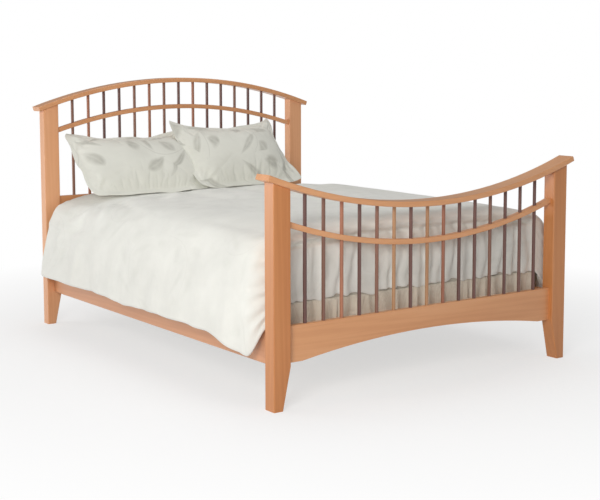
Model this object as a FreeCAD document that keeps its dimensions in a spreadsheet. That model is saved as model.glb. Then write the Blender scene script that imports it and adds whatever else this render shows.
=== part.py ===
import FreeCAD, Part
import Sketcher
import math
import os
from types import SimpleNamespace

# A queen-size dowel bed: cherry posts and rails, walnut dowels, and its bedding.
# +Z is up, +Y runs from the foot to the head, and the origin is on the floor
# under the middle of the bed.

DOWEL_COUNT = 15
DOWEL_SIDES = 12
SCREW_SIDES = 8
# Radius of a screw's point, as a share of the screw's own radius.
SCREW_POINT_SHARE = 0.25
SLAT_COUNT = 6
LEG_SLATS = (2, 3)
LEDGER_SCREW_COUNT = 4
SIDE_FOLD_STEPS = 17
FOOT_FOLD_COUNT = 8
GATHER_COUNT = 18

# Driving sizes in millimetres
SIZES = {
    # Frame and posts
    "frame_width": 1650.0,
    "frame_length": 2202.0,
    "post_width": 83.0,
    "foot_post_depth": 66.0,
    "head_post_depth": 57.0,
    "leg_height": 178.0,
    "leg_foot_width": 45.0,
    "post_ease": 3.0,
    # Curved cap rails, whose ends overhang the posts
    "cap_thickness": 24.0,
    "cap_side_overhang": 33.0,
    "cap_face_overhang": 13.0,
    "cap_ease": 3.0,
    "foot_cap_height": 776.0,
    "foot_cap_bend": 142.0,
    "head_cap_height": 1277.0,
    "head_cap_bend": 136.0,
    # Curved middle rails, which the dowels pass through
    "mid_rail_thickness": 23.0,
    "mid_rail_depth": 30.0,
    "mid_rail_ease": 2.0,
    "foot_mid_height": 613.5,
    "foot_mid_bend": 124.5,
    "head_mid_height": 1130.0,
    "head_mid_bend": 114.0,
    # Lower rails
    "low_rail_thickness": 25.0,
    "low_rail_ease": 2.0,
    "foot_rail_top": 338.0,
    "foot_rail_height": 151.0,
    "foot_rail_arch": 54.0,
    "foot_rail_flat": 72.0,
    "head_rail_top": 680.0,
    "head_rail_height": 150.0,
    # Planes that the dowels stand in
    "foot_panel_setback": 36.0,
    "head_panel_setback": 28.0,
    # Mortise and tenon joints
    "tenon_length": 25.0,
    "tenon_cheek": 6.0,
    "low_tenon_shoulder": 14.0,
    "mid_tenon_shoulder": 5.0,
    "joint_clearance": 0.2,
    # Dowels
    "dowel_diameter": 16.0,
    "dowel_top_seat": 12.0,
    "dowel_low_seat": 18.0,
    "dowel_clearance": 0.1,
    "bore_end_clearance": 0.5,
    # Side rails
    "side_rail_inset": 38.0,
    "side_rail_thickness": 22.0,
    "side_rail_bottom": 172.0,
    "side_rail_height": 152.0,
    "side_rail_ease": 2.0,
    # Hooked bed rail fittings
    "fitting_width": 16.0,
    "fitting_height": 130.0,
    "fitting_thickness": 2.5,
    "fitting_clearance": 0.2,
    "fitting_screw_margin": 10.0,
    "hook_thickness": 4.0,
    "hook_neck_height": 14.0,
    "hook_lip_depth": 6.0,
    "hook_lip_drop": 12.0,
    "hook_spread": 44.0,
    "hook_low_offset": 34.0,
    "hook_clearance": 0.4,
    # Wood screws
    "screw_head_diameter": 8.0,
    "screw_head_height": 1.5,
    "screw_diameter": 4.0,
    "screw_tip": 4.0,
    "screw_clearance": 0.1,
    "fitting_screw_length": 24.0,
    "ledger_screw_length": 38.0,
    "leg_screw_length": 45.0,
    # Ledgers, slats and centre legs
    "ledger_width": 25.0,
    "ledger_height": 30.0,
    "ledger_top": 226.0,
    "ledger_end_gap": 12.0,
    "slat_width": 89.0,
    "slat_thickness": 19.0,
    "slat_end_gap": 3.0,
    "slat_end_margin": 30.0,
    "slat_ease": 2.0,
    "centre_leg_width": 45.0,
    "centre_leg_ease": 3.0,
    # Box spring with its gathered foot skirt
    "box_spring_width": 1520.0,
    "box_spring_height": 190.0,
    "box_spring_corner": 40.0,
    "box_spring_ease": 10.0,
    "skirt_thickness": 6.0,
    "skirt_gather": 4.0,
    "skirt_bottom": 300.0,
    "skirt_top": 412.0,
    "skirt_side_gap": 42.0,
    "skirt_back_gap": 0.1,
    # Mattress
    "mattress_width": 1524.0,
    "mattress_length": 2030.0,
    "mattress_height": 215.0,
    "mattress_head_gap": 3.0,
    "mattress_corner": 60.0,
    "mattress_ease": 32.0,
    # Duvet, draped over the mattress and down both sides and the foot
    "duvet_rail_clearance": 3.0,
    "duvet_head_gap": 55.0,
    "duvet_foot_thickness": 21.5,
    "duvet_foot_clearance": 0.5,
    "duvet_edge_height": 60.0,
    "duvet_crown": 25.0,
    "duvet_pressed_crown": 4.0,
    "duvet_pressed_drop": 12.0,
    "duvet_pressed_length": 540.0,
    "duvet_press_slope": 110.0,
    "duvet_top_half": 620.0,
    "duvet_side_thickness": 92.0,
    "duvet_shoulder_inset": 92.0,
    "duvet_shoulder_drop": 65.0,
    "duvet_belly_inset": 36.0,
    "duvet_belly_drop": 203.0,
    "duvet_inner_chamfer": 44.0,
    "duvet_front_inset": 55.0,
    "duvet_side_hem": 277.0,
    "duvet_corner_hem": 205.0,
    "duvet_corner_end_hem": 330.0,
    "duvet_corner_run": 75.0,
    "duvet_corner_reach": 225.0,
    "duvet_foot_hem": 415.0,
    "duvet_end_round": 34.0,
    "duvet_side_fold": 11.0,
    "duvet_fold_pitch": 420.0,
    "duvet_foot_fold": 8.0,
    "duvet_foot_fold_top": 640.0,
    # Flanged pillows, which lean back on their lower edges
    "pillow_width": 700.0,
    "pillow_height": 450.0,
    "pillow_flange": 45.0,
    "pillow_flange_thickness": 8.0,
    "pillow_thickness": 170.0,
    "pillow_draw_in": 24.0,
    "pillow_top_gap": 24.0,
    "pillow_clearance": 0.5,
    "left_pillow_rise": 306.0,
    "left_pillow_shift": 362.0,
    "right_pillow_rise": 345.0,
    "right_pillow_shift": 241.0,
    "right_pillow_turn": 70.0,
    "right_pillow_forward": 140.0,
    # One overrun for every cut that leaves its piece
    "overrun": 20.0,
}

# Stations along the half width of a pillow's filling, as shares of it, and its
# thickness there as a share of the full thickness.
PILLOW_STATION_SHARES = (0.0, 0.42, 0.74, 0.92, 1.0)
PILLOW_THICKNESS_SHARES = (1.0, 0.94, 0.70, 0.36, 0.05)
# Flat spans from a pillow's lower seam to its upper one.
PILLOW_SPAN_STEPS = 6
# Stations of the duvet's crown, as shares of the half width of its flat top.
CROWN_STATION_SHARES = (0.6, 0.2)
# How much of the side folds reaches the duvet's belly and shoulder.
BELLY_FOLD_SHARE = 0.6
SHOULDER_FOLD_SHARE = 0.15
# A shoulder's bulge beyond the chord between its ends, of that chord.
SHOULDER_BULGE_SHARE = 0.11
# Steps in which a pillow is let down onto what carries it.
SETTLE_STEPS = 14

doc = FreeCAD.newDocument("dowel_bed")
sheet = doc.addObject("Spreadsheet::Sheet", "sizes")


class Size:
    """A length with the sheet formula that gives it."""

    def __init__(self, value, formula):
        self.value = float(value)
        self.formula = formula

    def __add__(self, other):
        other = as_size(other)
        return Size(self.value + other.value, f"({self.formula} + {other.formula})")

    def __sub__(self, other):
        other = as_size(other)
        return Size(self.value - other.value, f"({self.formula} - {other.formula})")

    def __mul__(self, other):
        other = as_size(other)
        return Size(self.value * other.value, f"({self.formula} * {other.formula})")

    def __truediv__(self, other):
        other = as_size(other)
        return Size(self.value / other.value, f"({self.formula} / {other.formula})")

    def __neg__(self):
        return Size(-self.value, f"(0 - {self.formula})")

    def root(self):
        return Size(math.sqrt(self.value), f"sqrt({self.formula})")


def as_size(number):
    """Return a plain ratio or count as a Size, and a Size as it is."""
    return number if isinstance(number, Size) else Size(number, repr(number))


def fill_sheet():
    """Write the driving sizes into the sheet and return them by name."""
    for row, (name, value) in enumerate(SIZES.items(), start=1):
        sheet.set(f"A{row}", name)
        sheet.set(f"B{row}", str(value))
        sheet.setAlias(f"B{row}", name)
    doc.recompute()
    return SimpleNamespace(**{name: Size(sheet.get(name), "sizes." + name) for name in SIZES})


s = fill_sheet()
ZERO = Size(0, "0")


class Arch:
    """A circular curve over the bed's width, given by its middle height and bend."""

    def __init__(self, height, bend, half_span, dips):
        self.dips = dips
        self.radius = (half_span * half_span + bend * bend) / (bend * 2)
        self.centre = height + self.radius if dips else height - self.radius

    def height(self, x):
        reach = (self.radius * self.radius - x * x).root()
        return self.centre - reach if self.dips else self.centre + reach

    def raised(self, amount):
        """Return the parallel curve that lies this much higher."""
        upper = Arch.__new__(Arch)
        upper.dips = self.dips
        upper.centre = self.centre
        upper.radius = self.radius - amount if self.dips else self.radius + amount
        return upper

    def across(self, x, upper):
        """Return the point of the parallel curve that faces the point at x."""
        share = upper.radius / self.radius
        return x * share, self.centre + (self.height(x) - self.centre) * share


# Places that several pieces share
half_width = s.frame_width / 2
inner_half = half_width - s.post_width
foot_face = -s.frame_length / 2
head_face = s.frame_length / 2
rail_mid_x = half_width - s.side_rail_inset - s.side_rail_thickness / 2
rail_start = foot_face + s.foot_post_depth
rail_length = s.frame_length - s.foot_post_depth - s.head_post_depth
fitting_mid_z = s.side_rail_bottom + s.side_rail_height / 2
fitting_low_z = fitting_mid_z - s.fitting_height / 2
fitting_screw_z = (
    fitting_low_z + s.fitting_screw_margin,
    fitting_low_z + s.fitting_height - s.fitting_screw_margin,
)
hook_z = (
    fitting_mid_z - s.hook_low_offset,
    fitting_mid_z - s.hook_low_offset + s.hook_spread,
)
dowel_radius = s.dowel_diameter / 2
dowel_bore = dowel_radius + s.dowel_clearance
dowel_pitch = inner_half * 2 / (DOWEL_COUNT + 1)
screw_radius = s.screw_diameter / 2
screw_bore = screw_radius + s.screw_clearance
slat_bottom = s.ledger_top
slat_top = s.ledger_top + s.slat_thickness
slat_half = rail_mid_x - s.side_rail_thickness / 2 - s.slat_end_gap
ledger_start = rail_start + s.ledger_end_gap
ledger_length = rail_length - s.ledger_end_gap * 2
slat_first = ledger_start + s.slat_end_margin
slat_pitch = (ledger_length - s.slat_end_margin * 2 - s.slat_width) / (SLAT_COUNT - 1)
mattress_head = head_face - s.head_post_depth - s.mattress_head_gap
mattress_foot = mattress_head - s.mattress_length
mattress_bottom = slat_top + s.box_spring_height
mattress_top = mattress_bottom + s.mattress_height


def dowel_x(number):
    return dowel_pitch * (number - (DOWEL_COUNT - 1) / 2)


def slat_y(number):
    return slat_first + slat_pitch * number


FOOT = SimpleNamespace(
    name="foot",
    plane=foot_face + s.foot_panel_setback,
    front=s.foot_panel_setback,
    back=s.foot_post_depth - s.foot_panel_setback,
    cap=Arch(s.foot_cap_height, s.foot_cap_bend, half_width, True),
    mid=Arch(s.foot_mid_height, s.foot_mid_bend, inner_half, True),
    rail_top=s.foot_rail_top,
    rail_height=s.foot_rail_height,
)
HEAD = SimpleNamespace(
    name="head",
    plane=head_face - s.head_panel_setback,
    front=s.head_post_depth - s.head_panel_setback,
    back=s.head_panel_setback,
    cap=Arch(s.head_cap_height, s.head_cap_bend, half_width, False),
    mid=Arch(s.head_mid_height, s.head_mid_bend, inner_half, False),
    rail_top=s.head_rail_top,
    rail_height=s.head_rail_height,
)
SIDES = (("left", -1), ("right", 1))


# Helpers for bodies, sketches and cuts


def bind(item, **sizes):
    """Tie properties to sheet formulas. A double underscore stands for a dot."""
    for name, length in sizes.items():
        item.setExpression(name.replace("__", "."), as_size(length).formula)


def new_body(label, x, y, z):
    body = doc.addObject("PartDesign::Body", label)
    body.Label = label
    bind(body, Placement__Base__x=x, Placement__Base__y=y, Placement__Base__z=z)
    return body


def attach(body, feature, role, x=ZERO, y=ZERO, z=ZERO):
    """Attach a feature to one of its body's own origin planes."""
    plane = [item for item in body.Origin.OriginFeatures if item.Role == role][0]
    feature.AttachmentSupport = [(plane, "")]
    feature.MapMode = "FlatFace"
    bind(feature, AttachmentOffset__Base__x=x, AttachmentOffset__Base__y=y)
    bind(feature, AttachmentOffset__Base__z=z)


def arc_between(start, end, arch):
    """Return an arc from the arch's circle, and whether it runs from end to start."""
    centre = FreeCAD.Vector(0, arch.centre.value, 0)
    first = math.atan2(start.y - centre.y, start.x)
    last = math.atan2(end.y - centre.y, end.x)
    backward = (last - first) % (2 * math.pi) > math.pi
    if backward:
        first, last = last, first
    circle = Part.Circle(centre, FreeCAD.Vector(0, 0, 1), arch.radius.value)
    return Part.ArcOfCircle(circle, first, last), backward


def outline(body, name, role, corners, arches=None, offset=ZERO):
    """Sketch a closed outline. The edge after corner number n can follow an arch."""
    sketch = body.newObject("Sketcher::SketchObject", name)
    attach(body, sketch, role, z=offset)
    arches = arches or {}
    points = [FreeCAD.Vector(x.value, y.value, 0) for x, y in corners]
    heads = []
    for number, point in enumerate(points):
        following = points[(number + 1) % len(points)]
        backward = False
        if number in arches:
            edge, backward = arc_between(point, following, arches[number])
        else:
            edge = Part.LineSegment(point, following)
        sketch.addGeometry(edge, False)
        heads.append(2 if backward else 1)
    for number, head in enumerate(heads):
        following = (number + 1) % len(points)
        join = Sketcher.Constraint("Coincident", number, 3 - head, following, heads[following])
        sketch.addConstraint(join)
        for kind, length in zip(("DistanceX", "DistanceY"), corners[number]):
            drive(sketch, Sketcher.Constraint(kind, number, head, length.value), length)
        if number in arches:
            radius = arches[number].radius
            drive(sketch, Sketcher.Constraint("Radius", number, radius.value), radius)
    return sketch


def drive(sketch, constraint, length):
    index = sketch.addConstraint(constraint)
    sketch.setExpression(f"Constraints[{index}]", length.formula)


def pad(body, name, sketch, length):
    """Extrude a sketch of the XZ plane towards +Y."""
    feature = body.newObject("PartDesign::Pad", name)
    feature.Profile = sketch
    feature.Reversed = True
    bind(feature, Length=length)
    return feature


def block(body, kind, name, low, high):
    """Add or cut a box between two opposite corners."""
    feature = body.newObject(f"PartDesign::{kind}Box", name)
    attach(body, feature, "XY_Plane", *low)
    size = [top - bottom for bottom, top in zip(low, high)]
    bind(feature, Length=size[0], Width=size[1], Height=size[2])
    return feature


def bore(body, name, role, place, start, end, radius, sides=SCREW_SIDES):
    """Cut a bore with a few flat sides, square to one of the body's planes."""
    feature = body.newObject("PartDesign::SubtractivePrism", name)
    feature.Polygon = sides
    attach(body, feature, role, *place, start)
    bind(feature, Circumradius=radius, Height=end - start)
    return feature


def bore_along(body, name, x, z, low_y, high_y, radius):
    """Cut a bore that runs along Y."""
    return bore(body, name, "XZ_Plane", (x, z), -high_y, -low_y, radius)


def ease(body, base, name, amount, chosen, kind="Chamfer", measure="Size"):
    """Break the chosen edges of a feature with a narrow chamfer, or round them."""
    doc.recompute()
    edges = base.Shape.Edges
    names = [f"Edge{number}" for number, edge in enumerate(edges, start=1) if chosen(edge)]
    feature = body.newObject(f"PartDesign::{kind}", name)
    feature.Base = (base, names)
    bind(feature, **{measure: amount})
    return feature


def row_along_x(body, cut, name, length, count):
    """Repeat a cut along X."""
    feature = body.newObject("PartDesign::LinearPattern", name)
    feature.Originals = [cut]
    axis = [item for item in body.Origin.OriginFeatures if item.Role == "X_Axis"][0]
    feature.Direction = (axis, [""])
    bind(feature, Length=length)
    feature.Occurrences = count
    body.Tip = feature
    return feature


def group(label, members):
    """Gather separate solids of like pieces under one name."""
    compound = doc.addObject("Part::Compound", label)
    compound.Label = label
    compound.Links = members
    return compound


def rises(edge):
    """Tell whether an edge runs more up than along."""
    box = edge.BoundBox
    return box.ZLength > max(box.XLength, box.YLength)


def runs_along_x(edge):
    box = edge.BoundBox
    return box.XLength > max(box.YLength, box.ZLength)


def runs_along_y(edge):
    box = edge.BoundBox
    return box.YLength > max(box.XLength, box.ZLength)


# Posts


def mortise(body, name, side, low, high):
    """Cut a mortise into a post's inner face for a tenon between two corners."""
    gap = s.joint_clearance
    near = inner_half - s.overrun
    far = inner_half + s.tenon_length + s.bore_end_clearance
    left, right = (near, far) if side > 0 else (-far, -near)
    block(
        body,
        "Subtractive",
        name,
        (left, low[0] - gap, low[1] - gap),
        (right, high[0] + gap, high[1] + gap),
    )


def post(end, side_name, side):
    body = new_body(f"{end.name}_post_{side_name}", ZERO, end.plane, ZERO)
    leg_inner = half_width - s.leg_foot_width
    corners = [
        (half_width * side, ZERO),
        (half_width * side, end.cap.height(half_width)),
        (inner_half * side, end.cap.height(inner_half)),
        (inner_half * side, s.leg_height),
        (leg_inner * side, ZERO),
    ]
    face = outline(body, "face", "XZ_Plane", corners, {1: end.cap}, end.front)
    stock = pad(body, "stock", face, end.front + end.back)
    ease(body, stock, "eased_edges", s.post_ease, rises)
    mortise(body, "mid_mortise", side, *mid_tenon_section(end))
    mortise(body, "low_mortise", side, *low_tenon_section(end))
    fitting_recess(body, end, side)
    return body


def fitting_recess(body, end, side):
    """Let a slotted plate into the post's face, with room behind for the hooks."""
    to_bed = 1 if end is FOOT else -1
    face = end.back if end is FOOT else -end.front
    gap = s.fitting_clearance
    half = s.fitting_width / 2 + gap
    x = rail_mid_x * side
    floor = face - s.fitting_thickness * to_bed
    outside = face + s.overrun * to_bed
    low_y, high_y = (floor, outside) if end is FOOT else (outside, floor)
    block(
        body,
        "Subtractive",
        "plate_recess",
        (x - half, low_y, fitting_low_z - gap),
        (x + half, high_y, fitting_low_z + s.fitting_height + gap),
    )
    depth = s.hook_lip_depth + s.hook_clearance * 2
    deep = floor - depth * to_bed
    low_y, high_y = (deep, outside) if end is FOOT else (outside, deep)
    half_hook = s.hook_thickness / 2 + s.hook_clearance
    for number, z in enumerate(hook_z, start=1):
        block(
            body,
            "Subtractive",
            f"hook_pocket_{number}",
            (x - half_hook, low_y, z - s.hook_lip_drop - s.hook_clearance),
            (x + half_hook, high_y, z + hook_slot_height()),
        )
    for number, z in enumerate(fitting_screw_z, start=1):
        tip = floor - s.fitting_screw_length * to_bed
        low_y, high_y = (tip, outside) if end is FOOT else (outside, tip)
        bore_along(body, f"screw_bore_{number}", x, z, low_y, high_y, screw_bore)


def hook_slot_height():
    """Height of a slot above its hook's seat, which lets the hook's lip enter."""
    return s.hook_neck_height + s.hook_lip_drop + s.hook_clearance * 2


# Cap rails


def cap(end):
    body = new_body(f"{end.name}_cap", ZERO, end.plane, ZERO)
    top = end.cap.raised(s.cap_thickness)
    end_x = half_width + s.cap_side_overhang
    if not end.cap.dips:
        end_x = end_x * end.cap.radius / top.radius
    low = (end_x, end.cap.height(end_x))
    high = end.cap.across(end_x, top)
    corners = [(-low[0], low[1]), low, high, (-high[0], high[1])]
    depth = end.front + end.back + s.cap_face_overhang * 2
    face = outline(
        body, "face", "XZ_Plane", corners, {0: end.cap, 2: top}, end.front + s.cap_face_overhang
    )
    stock = pad(body, "stock", face, depth)
    ease(body, stock, "eased_edges", s.cap_ease, runs_along_x)
    for number in range(DOWEL_COUNT):
        x = dowel_x(number)
        under = end.cap.height(x)
        top_z = under + s.dowel_top_seat + s.bore_end_clearance
        name = f"bore_{number + 1}"
        start = under - s.overrun
        bore(body, name, "XY_Plane", (x, ZERO), start, top_z, dowel_bore, DOWEL_SIDES)
    return body


# Middle rails


def mid_tenon_section(end):
    """Return the low and high (y, z) corners of a middle rail's tenon."""
    half = s.mid_rail_depth / 2 - s.tenon_cheek
    bottom = end.mid.height(inner_half)
    top = bottom + s.mid_rail_thickness
    return (-half, bottom + s.mid_tenon_shoulder), (half, top - s.mid_tenon_shoulder)


def tenons(body, section):
    """Add a tenon at each end of a rail that runs between the posts."""
    low, high = section
    root = inner_half - s.tenon_cheek
    tip = inner_half + s.tenon_length
    for name, left, right in (("left_tenon", -tip, -root), ("right_tenon", root, tip)):
        block(body, "Additive", name, (left, *low), (right, *high))


def dowel_row(body, name, radius, bottom, depth):
    """Bore a row of dowel holes down into a rail that stands in the dowels' plane."""
    place = (dowel_x(0), ZERO)
    cut = bore(body, name, "XY_Plane", place, bottom, bottom + depth, radius, DOWEL_SIDES)
    row_along_x(body, cut, name + "_row", dowel_pitch * (DOWEL_COUNT - 1), DOWEL_COUNT)


def mid_rail(end):
    body = new_body(f"{end.name}_mid_rail", ZERO, end.plane, ZERO)
    top = end.mid.raised(s.mid_rail_thickness)
    rough_half = inner_half + s.overrun
    corners = [
        (-rough_half, end.mid.height(rough_half)),
        (rough_half, end.mid.height(rough_half)),
        (rough_half, top.height(rough_half)),
        (-rough_half, top.height(rough_half)),
    ]
    arches = {0: end.mid, 2: top}
    half_depth = s.mid_rail_depth / 2
    face = outline(body, "face", "XZ_Plane", corners, arches, half_depth)
    stock = pad(body, "stock", face, s.mid_rail_depth)
    ease(body, stock, "eased_edges", s.mid_rail_ease, runs_along_x)
    middle = end.mid.height(ZERO)
    edge = end.mid.height(inner_half)
    trim_low = (-half_depth - s.overrun, edge - s.overrun)
    trim_high = (half_depth + s.overrun, edge + s.mid_rail_thickness + s.overrun)
    outside = rough_half + s.overrun
    for name, left, right in (
        ("left_shoulder", -outside, -inner_half),
        ("right_shoulder", inner_half, outside),
    ):
        block(body, "Subtractive", name, (left, *trim_low), (right, *trim_high))
    tenons(body, mid_tenon_section(end))
    low, high = (middle, edge) if end.mid.dips else (edge, middle)
    reach = high - low + s.mid_rail_thickness + s.overrun * 2
    dowel_row(body, "dowel_bore", dowel_bore, low - s.overrun, reach)
    return body


# Lower rails


def low_tenon_section(end):
    """Return the low and high (y, z) corners of a lower rail's tenon."""
    half = s.low_rail_thickness / 2 - s.tenon_cheek
    bottom = end.rail_top - end.rail_height
    return (-half, bottom + s.low_tenon_shoulder), (half, end.rail_top - s.low_tenon_shoulder)


def low_rail(end, label):
    body = new_body(label, ZERO, end.plane, ZERO)
    bottom = end.rail_top - end.rail_height
    corners = [(-inner_half, end.rail_top), (-inner_half, bottom)]
    arches = {}
    if end is FOOT:
        arch_half = inner_half - s.foot_rail_flat
        arch = Arch(bottom + s.foot_rail_arch, s.foot_rail_arch, arch_half, False)
        corners += [(-arch_half, bottom), (arch_half, bottom)]
        arches = {2: arch}
    corners += [(inner_half, bottom), (inner_half, end.rail_top)]
    face = outline(body, "face", "XZ_Plane", corners, arches, s.low_rail_thickness / 2)
    stock = pad(body, "stock", face, s.low_rail_thickness)
    top = end.rail_top.value
    ease(
        body,
        stock,
        "eased_edges",
        s.low_rail_ease,
        lambda edge: runs_along_x(edge) and abs(edge.BoundBox.ZMin - top) < s.low_rail_ease.value,
    )
    tenons(body, low_tenon_section(end))
    seat = s.dowel_low_seat + s.bore_end_clearance
    dowel_row(body, "dowel_bore", dowel_bore, end.rail_top - seat, seat + s.overrun)
    return body


# Dowels


def dowel(end, number):
    label = f"{end.name}_dowel_{number + 1:02d}"
    rod = doc.addObject("Part::Prism", label)
    rod.Label = label
    rod.Polygon = DOWEL_SIDES
    x = dowel_x(number)
    low = end.rail_top - s.dowel_low_seat
    high = end.cap.height(x) + s.dowel_top_seat
    bind(rod, Circumradius=dowel_radius, Height=high - low)
    bind(rod, Placement__Base__x=x, Placement__Base__y=end.plane, Placement__Base__z=low)
    return rod


# Side rails and their hooked fittings


def side_rail(side_name, side):
    body = new_body(f"side_rail_{side_name}", rail_mid_x * side, rail_start, s.side_rail_bottom)
    half = s.side_rail_thickness / 2
    stock = block(
        body, "Additive", "stock", (-half, ZERO, ZERO), (half, rail_length, s.side_rail_height)
    )
    ease(body, stock, "eased_edges", s.side_rail_ease, runs_along_y)
    gap = s.fitting_clearance
    plate_half = s.fitting_width / 2 + gap
    low_z = fitting_low_z - s.side_rail_bottom
    ends = (
        ("foot", -s.overrun, s.fitting_thickness, s.fitting_thickness + s.fitting_screw_length),
        ("head", rail_length - s.fitting_thickness, rail_length + s.overrun, rail_length),
    )
    for name, low_y, high_y, screw_end in ends:
        block(
            body,
            "Subtractive",
            f"{name}_plate_recess",
            (-plate_half, low_y, low_z - gap),
            (plate_half, high_y, low_z + s.fitting_height + gap),
        )
        start = ZERO if name == "foot" else low_y - s.fitting_screw_length
        for number, z in enumerate(fitting_screw_z, start=1):
            place = z - s.side_rail_bottom
            bore_along(
                body, f"{name}_screw_bore_{number}", ZERO, place, start, screw_end, screw_bore
            )
    for number in range(LEDGER_SCREW_COUNT):
        ledger_bore(body, f"ledger_bore_{number + 1}", side, number)
    return body


def ledger_screw_y(number):
    """Distance of a ledger screw from the side rail's foot end."""
    spacing = ledger_length / LEDGER_SCREW_COUNT
    return s.ledger_end_gap + spacing / 2 + spacing * number


def ledger_bore(body, name, side, number):
    """Bore for a ledger screw, blind from the side rail's inner face."""
    z = s.ledger_top - s.ledger_height / 2 - s.side_rail_bottom
    depth = s.ledger_screw_length - s.ledger_width + s.bore_end_clearance
    inner = -s.side_rail_thickness / 2 if side > 0 else s.side_rail_thickness / 2 - depth
    place = (ledger_screw_y(number), z)
    bore(body, name, "YZ_Plane", place, inner, inner + depth, screw_bore)


def rail_plate(end, side_name, side, hooked):
    """Build a hooked plate for a rail's end, or a slotted plate for a post."""
    kind = "hook_plate" if hooked else "slot_plate"
    face = rail_start if end is FOOT else rail_start + rail_length
    body = new_body(f"{kind}_{end.name}_{side_name}", rail_mid_x * side, face, ZERO)
    to_post = -1 if end is FOOT else 1
    half = s.fitting_width / 2
    outward = to_post if not hooked else -to_post
    low_y, high_y = ordered(ZERO, s.fitting_thickness * outward, outward)
    high_z = fitting_low_z + s.fitting_height
    block(body, "Additive", "plate", (-half, low_y, fitting_low_z), (half, high_y, high_z))
    half_hook = s.hook_thickness / 2
    gap = s.hook_clearance
    for number, z in enumerate(hook_z, start=1):
        if hooked:
            neck_end = (s.fitting_thickness + gap) * to_post
            low, high = ordered(ZERO, neck_end, to_post)
            neck_top = z + s.hook_neck_height
            block(
                body,
                "Additive",
                f"neck_{number}",
                (-half_hook, low, z),
                (half_hook, high, neck_top),
            )
            lip_end = neck_end + s.hook_lip_depth * to_post
            low, high = ordered(neck_end, lip_end, to_post)
            block(
                body,
                "Additive",
                f"lip_{number}",
                (-half_hook, low, z - s.hook_lip_drop),
                (half_hook, high, neck_top),
            )
        else:
            slot_half = half_hook + gap
            block(
                body,
                "Subtractive",
                f"slot_{number}",
                (-slot_half, low_y - s.overrun, z - gap),
                (slot_half, high_y + s.overrun, z + hook_slot_height()),
            )
    head_radius = s.screw_head_diameter / 2 + s.screw_clearance
    for number, z in enumerate(fitting_screw_z, start=1):
        bore_along(
            body,
            f"screw_bore_{number}",
            ZERO,
            z,
            low_y - s.overrun,
            high_y + s.overrun,
            screw_bore,
        )
        low, high = ordered(-s.overrun * outward, s.screw_head_height * outward, outward)
        bore_along(body, f"head_recess_{number}", ZERO, z, low, high, head_radius)
    return body


def ordered(near, far, direction):
    """Return two places along an axis, the lower one first."""
    return (near, far) if direction > 0 else (far, near)


# Ledgers, slats and centre legs


def ledger(side_name, side):
    rail_face = rail_mid_x - s.side_rail_thickness / 2
    x = (rail_face - s.ledger_width / 2) * side
    body = new_body(f"ledger_{side_name}", x, rail_start, s.ledger_top - s.ledger_height)
    half = s.ledger_width / 2
    stock = block(
        body,
        "Additive",
        "stock",
        (-half, s.ledger_end_gap, ZERO),
        (half, s.ledger_end_gap + ledger_length, s.ledger_height),
    )
    ease(body, stock, "eased_edges", s.slat_ease, runs_along_y)
    for number in range(LEDGER_SCREW_COUNT):
        place = (ledger_screw_y(number), s.ledger_height / 2)
        bore(body, f"screw_bore_{number + 1}", "YZ_Plane", place, -half, half, screw_bore)
        head_radius = s.screw_head_diameter / 2 + s.screw_clearance
        start = -half if side > 0 else half - s.screw_head_height
        end = start + s.screw_head_height
        bore(body, f"head_recess_{number + 1}", "YZ_Plane", place, start, end, head_radius)
    return body


def slat(number):
    body = new_body(f"slat_{number + 1}", ZERO, slat_y(number), slat_bottom)
    stock = block(
        body,
        "Additive",
        "stock",
        (-slat_half, ZERO, ZERO),
        (slat_half, s.slat_width, s.slat_thickness),
    )
    last = ease(body, stock, "eased_edges", s.slat_ease, runs_along_x)
    if number in LEG_SLATS:
        place = (ZERO, s.slat_width / 2)
        bore(body, "leg_screw_bore", "XY_Plane", place, ZERO, s.slat_thickness, screw_bore)
        start = s.slat_thickness - s.screw_head_height
        head_radius = s.screw_head_diameter / 2 + s.screw_clearance
        last = bore(
            body, "head_recess", "XY_Plane", place, start, s.slat_thickness, head_radius
        )
    body.Tip = last
    return body


def centre_leg(number):
    middle = slat_y(number) + s.slat_width / 2
    body = new_body(f"centre_leg_{number + 1}", ZERO, middle, ZERO)
    half = s.centre_leg_width / 2
    stock = block(body, "Additive", "stock", (-half, -half, ZERO), (half, half, slat_bottom))
    ease(body, stock, "eased_edges", s.centre_leg_ease, rises)
    depth = s.leg_screw_length - s.slat_thickness + s.bore_end_clearance
    start = slat_bottom - depth
    bore(body, "screw_bore", "XY_Plane", (ZERO, ZERO), start, slat_bottom, screw_bore)
    return body


# Wood screws, whose shapes are placed many times over


def ring(centre, axis, radius):
    """Return a closed outline with a few corners, square to one of the frame's axes."""
    across = FreeCAD.Vector(axis.z, axis.x, axis.y)
    upright = axis.cross(across)
    points = []
    for number in range(SCREW_SIDES + 1):
        turn = 2 * math.pi * number / SCREW_SIDES
        points.append(centre + (across * math.cos(turn) + upright * math.sin(turn)) * radius)
    return Part.makePolygon(points)


def screw(head, direction, length):
    """Return a flat-headed screw that is driven from its head along a direction."""
    axis = FreeCAD.Vector(*direction)
    at = FreeCAD.Vector(*(place.value for place in head))
    radius = screw_radius.value
    neck = at + axis * s.screw_head_height.value
    tip = at + axis * length.value
    point = tip - axis * s.screw_tip.value
    head_radius = s.screw_head_diameter.value / 2
    flat_head = Part.makeLoft([ring(at, axis, head_radius), ring(neck, axis, head_radius)], True)
    shank_rings = [ring(neck, axis, radius), ring(point, axis, radius)]
    shank_rings.append(ring(tip, axis, radius * SCREW_POINT_SHARE))
    shank = Part.makeLoft(shank_rings, True, True)
    return flat_head.fuse(shank)


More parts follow.
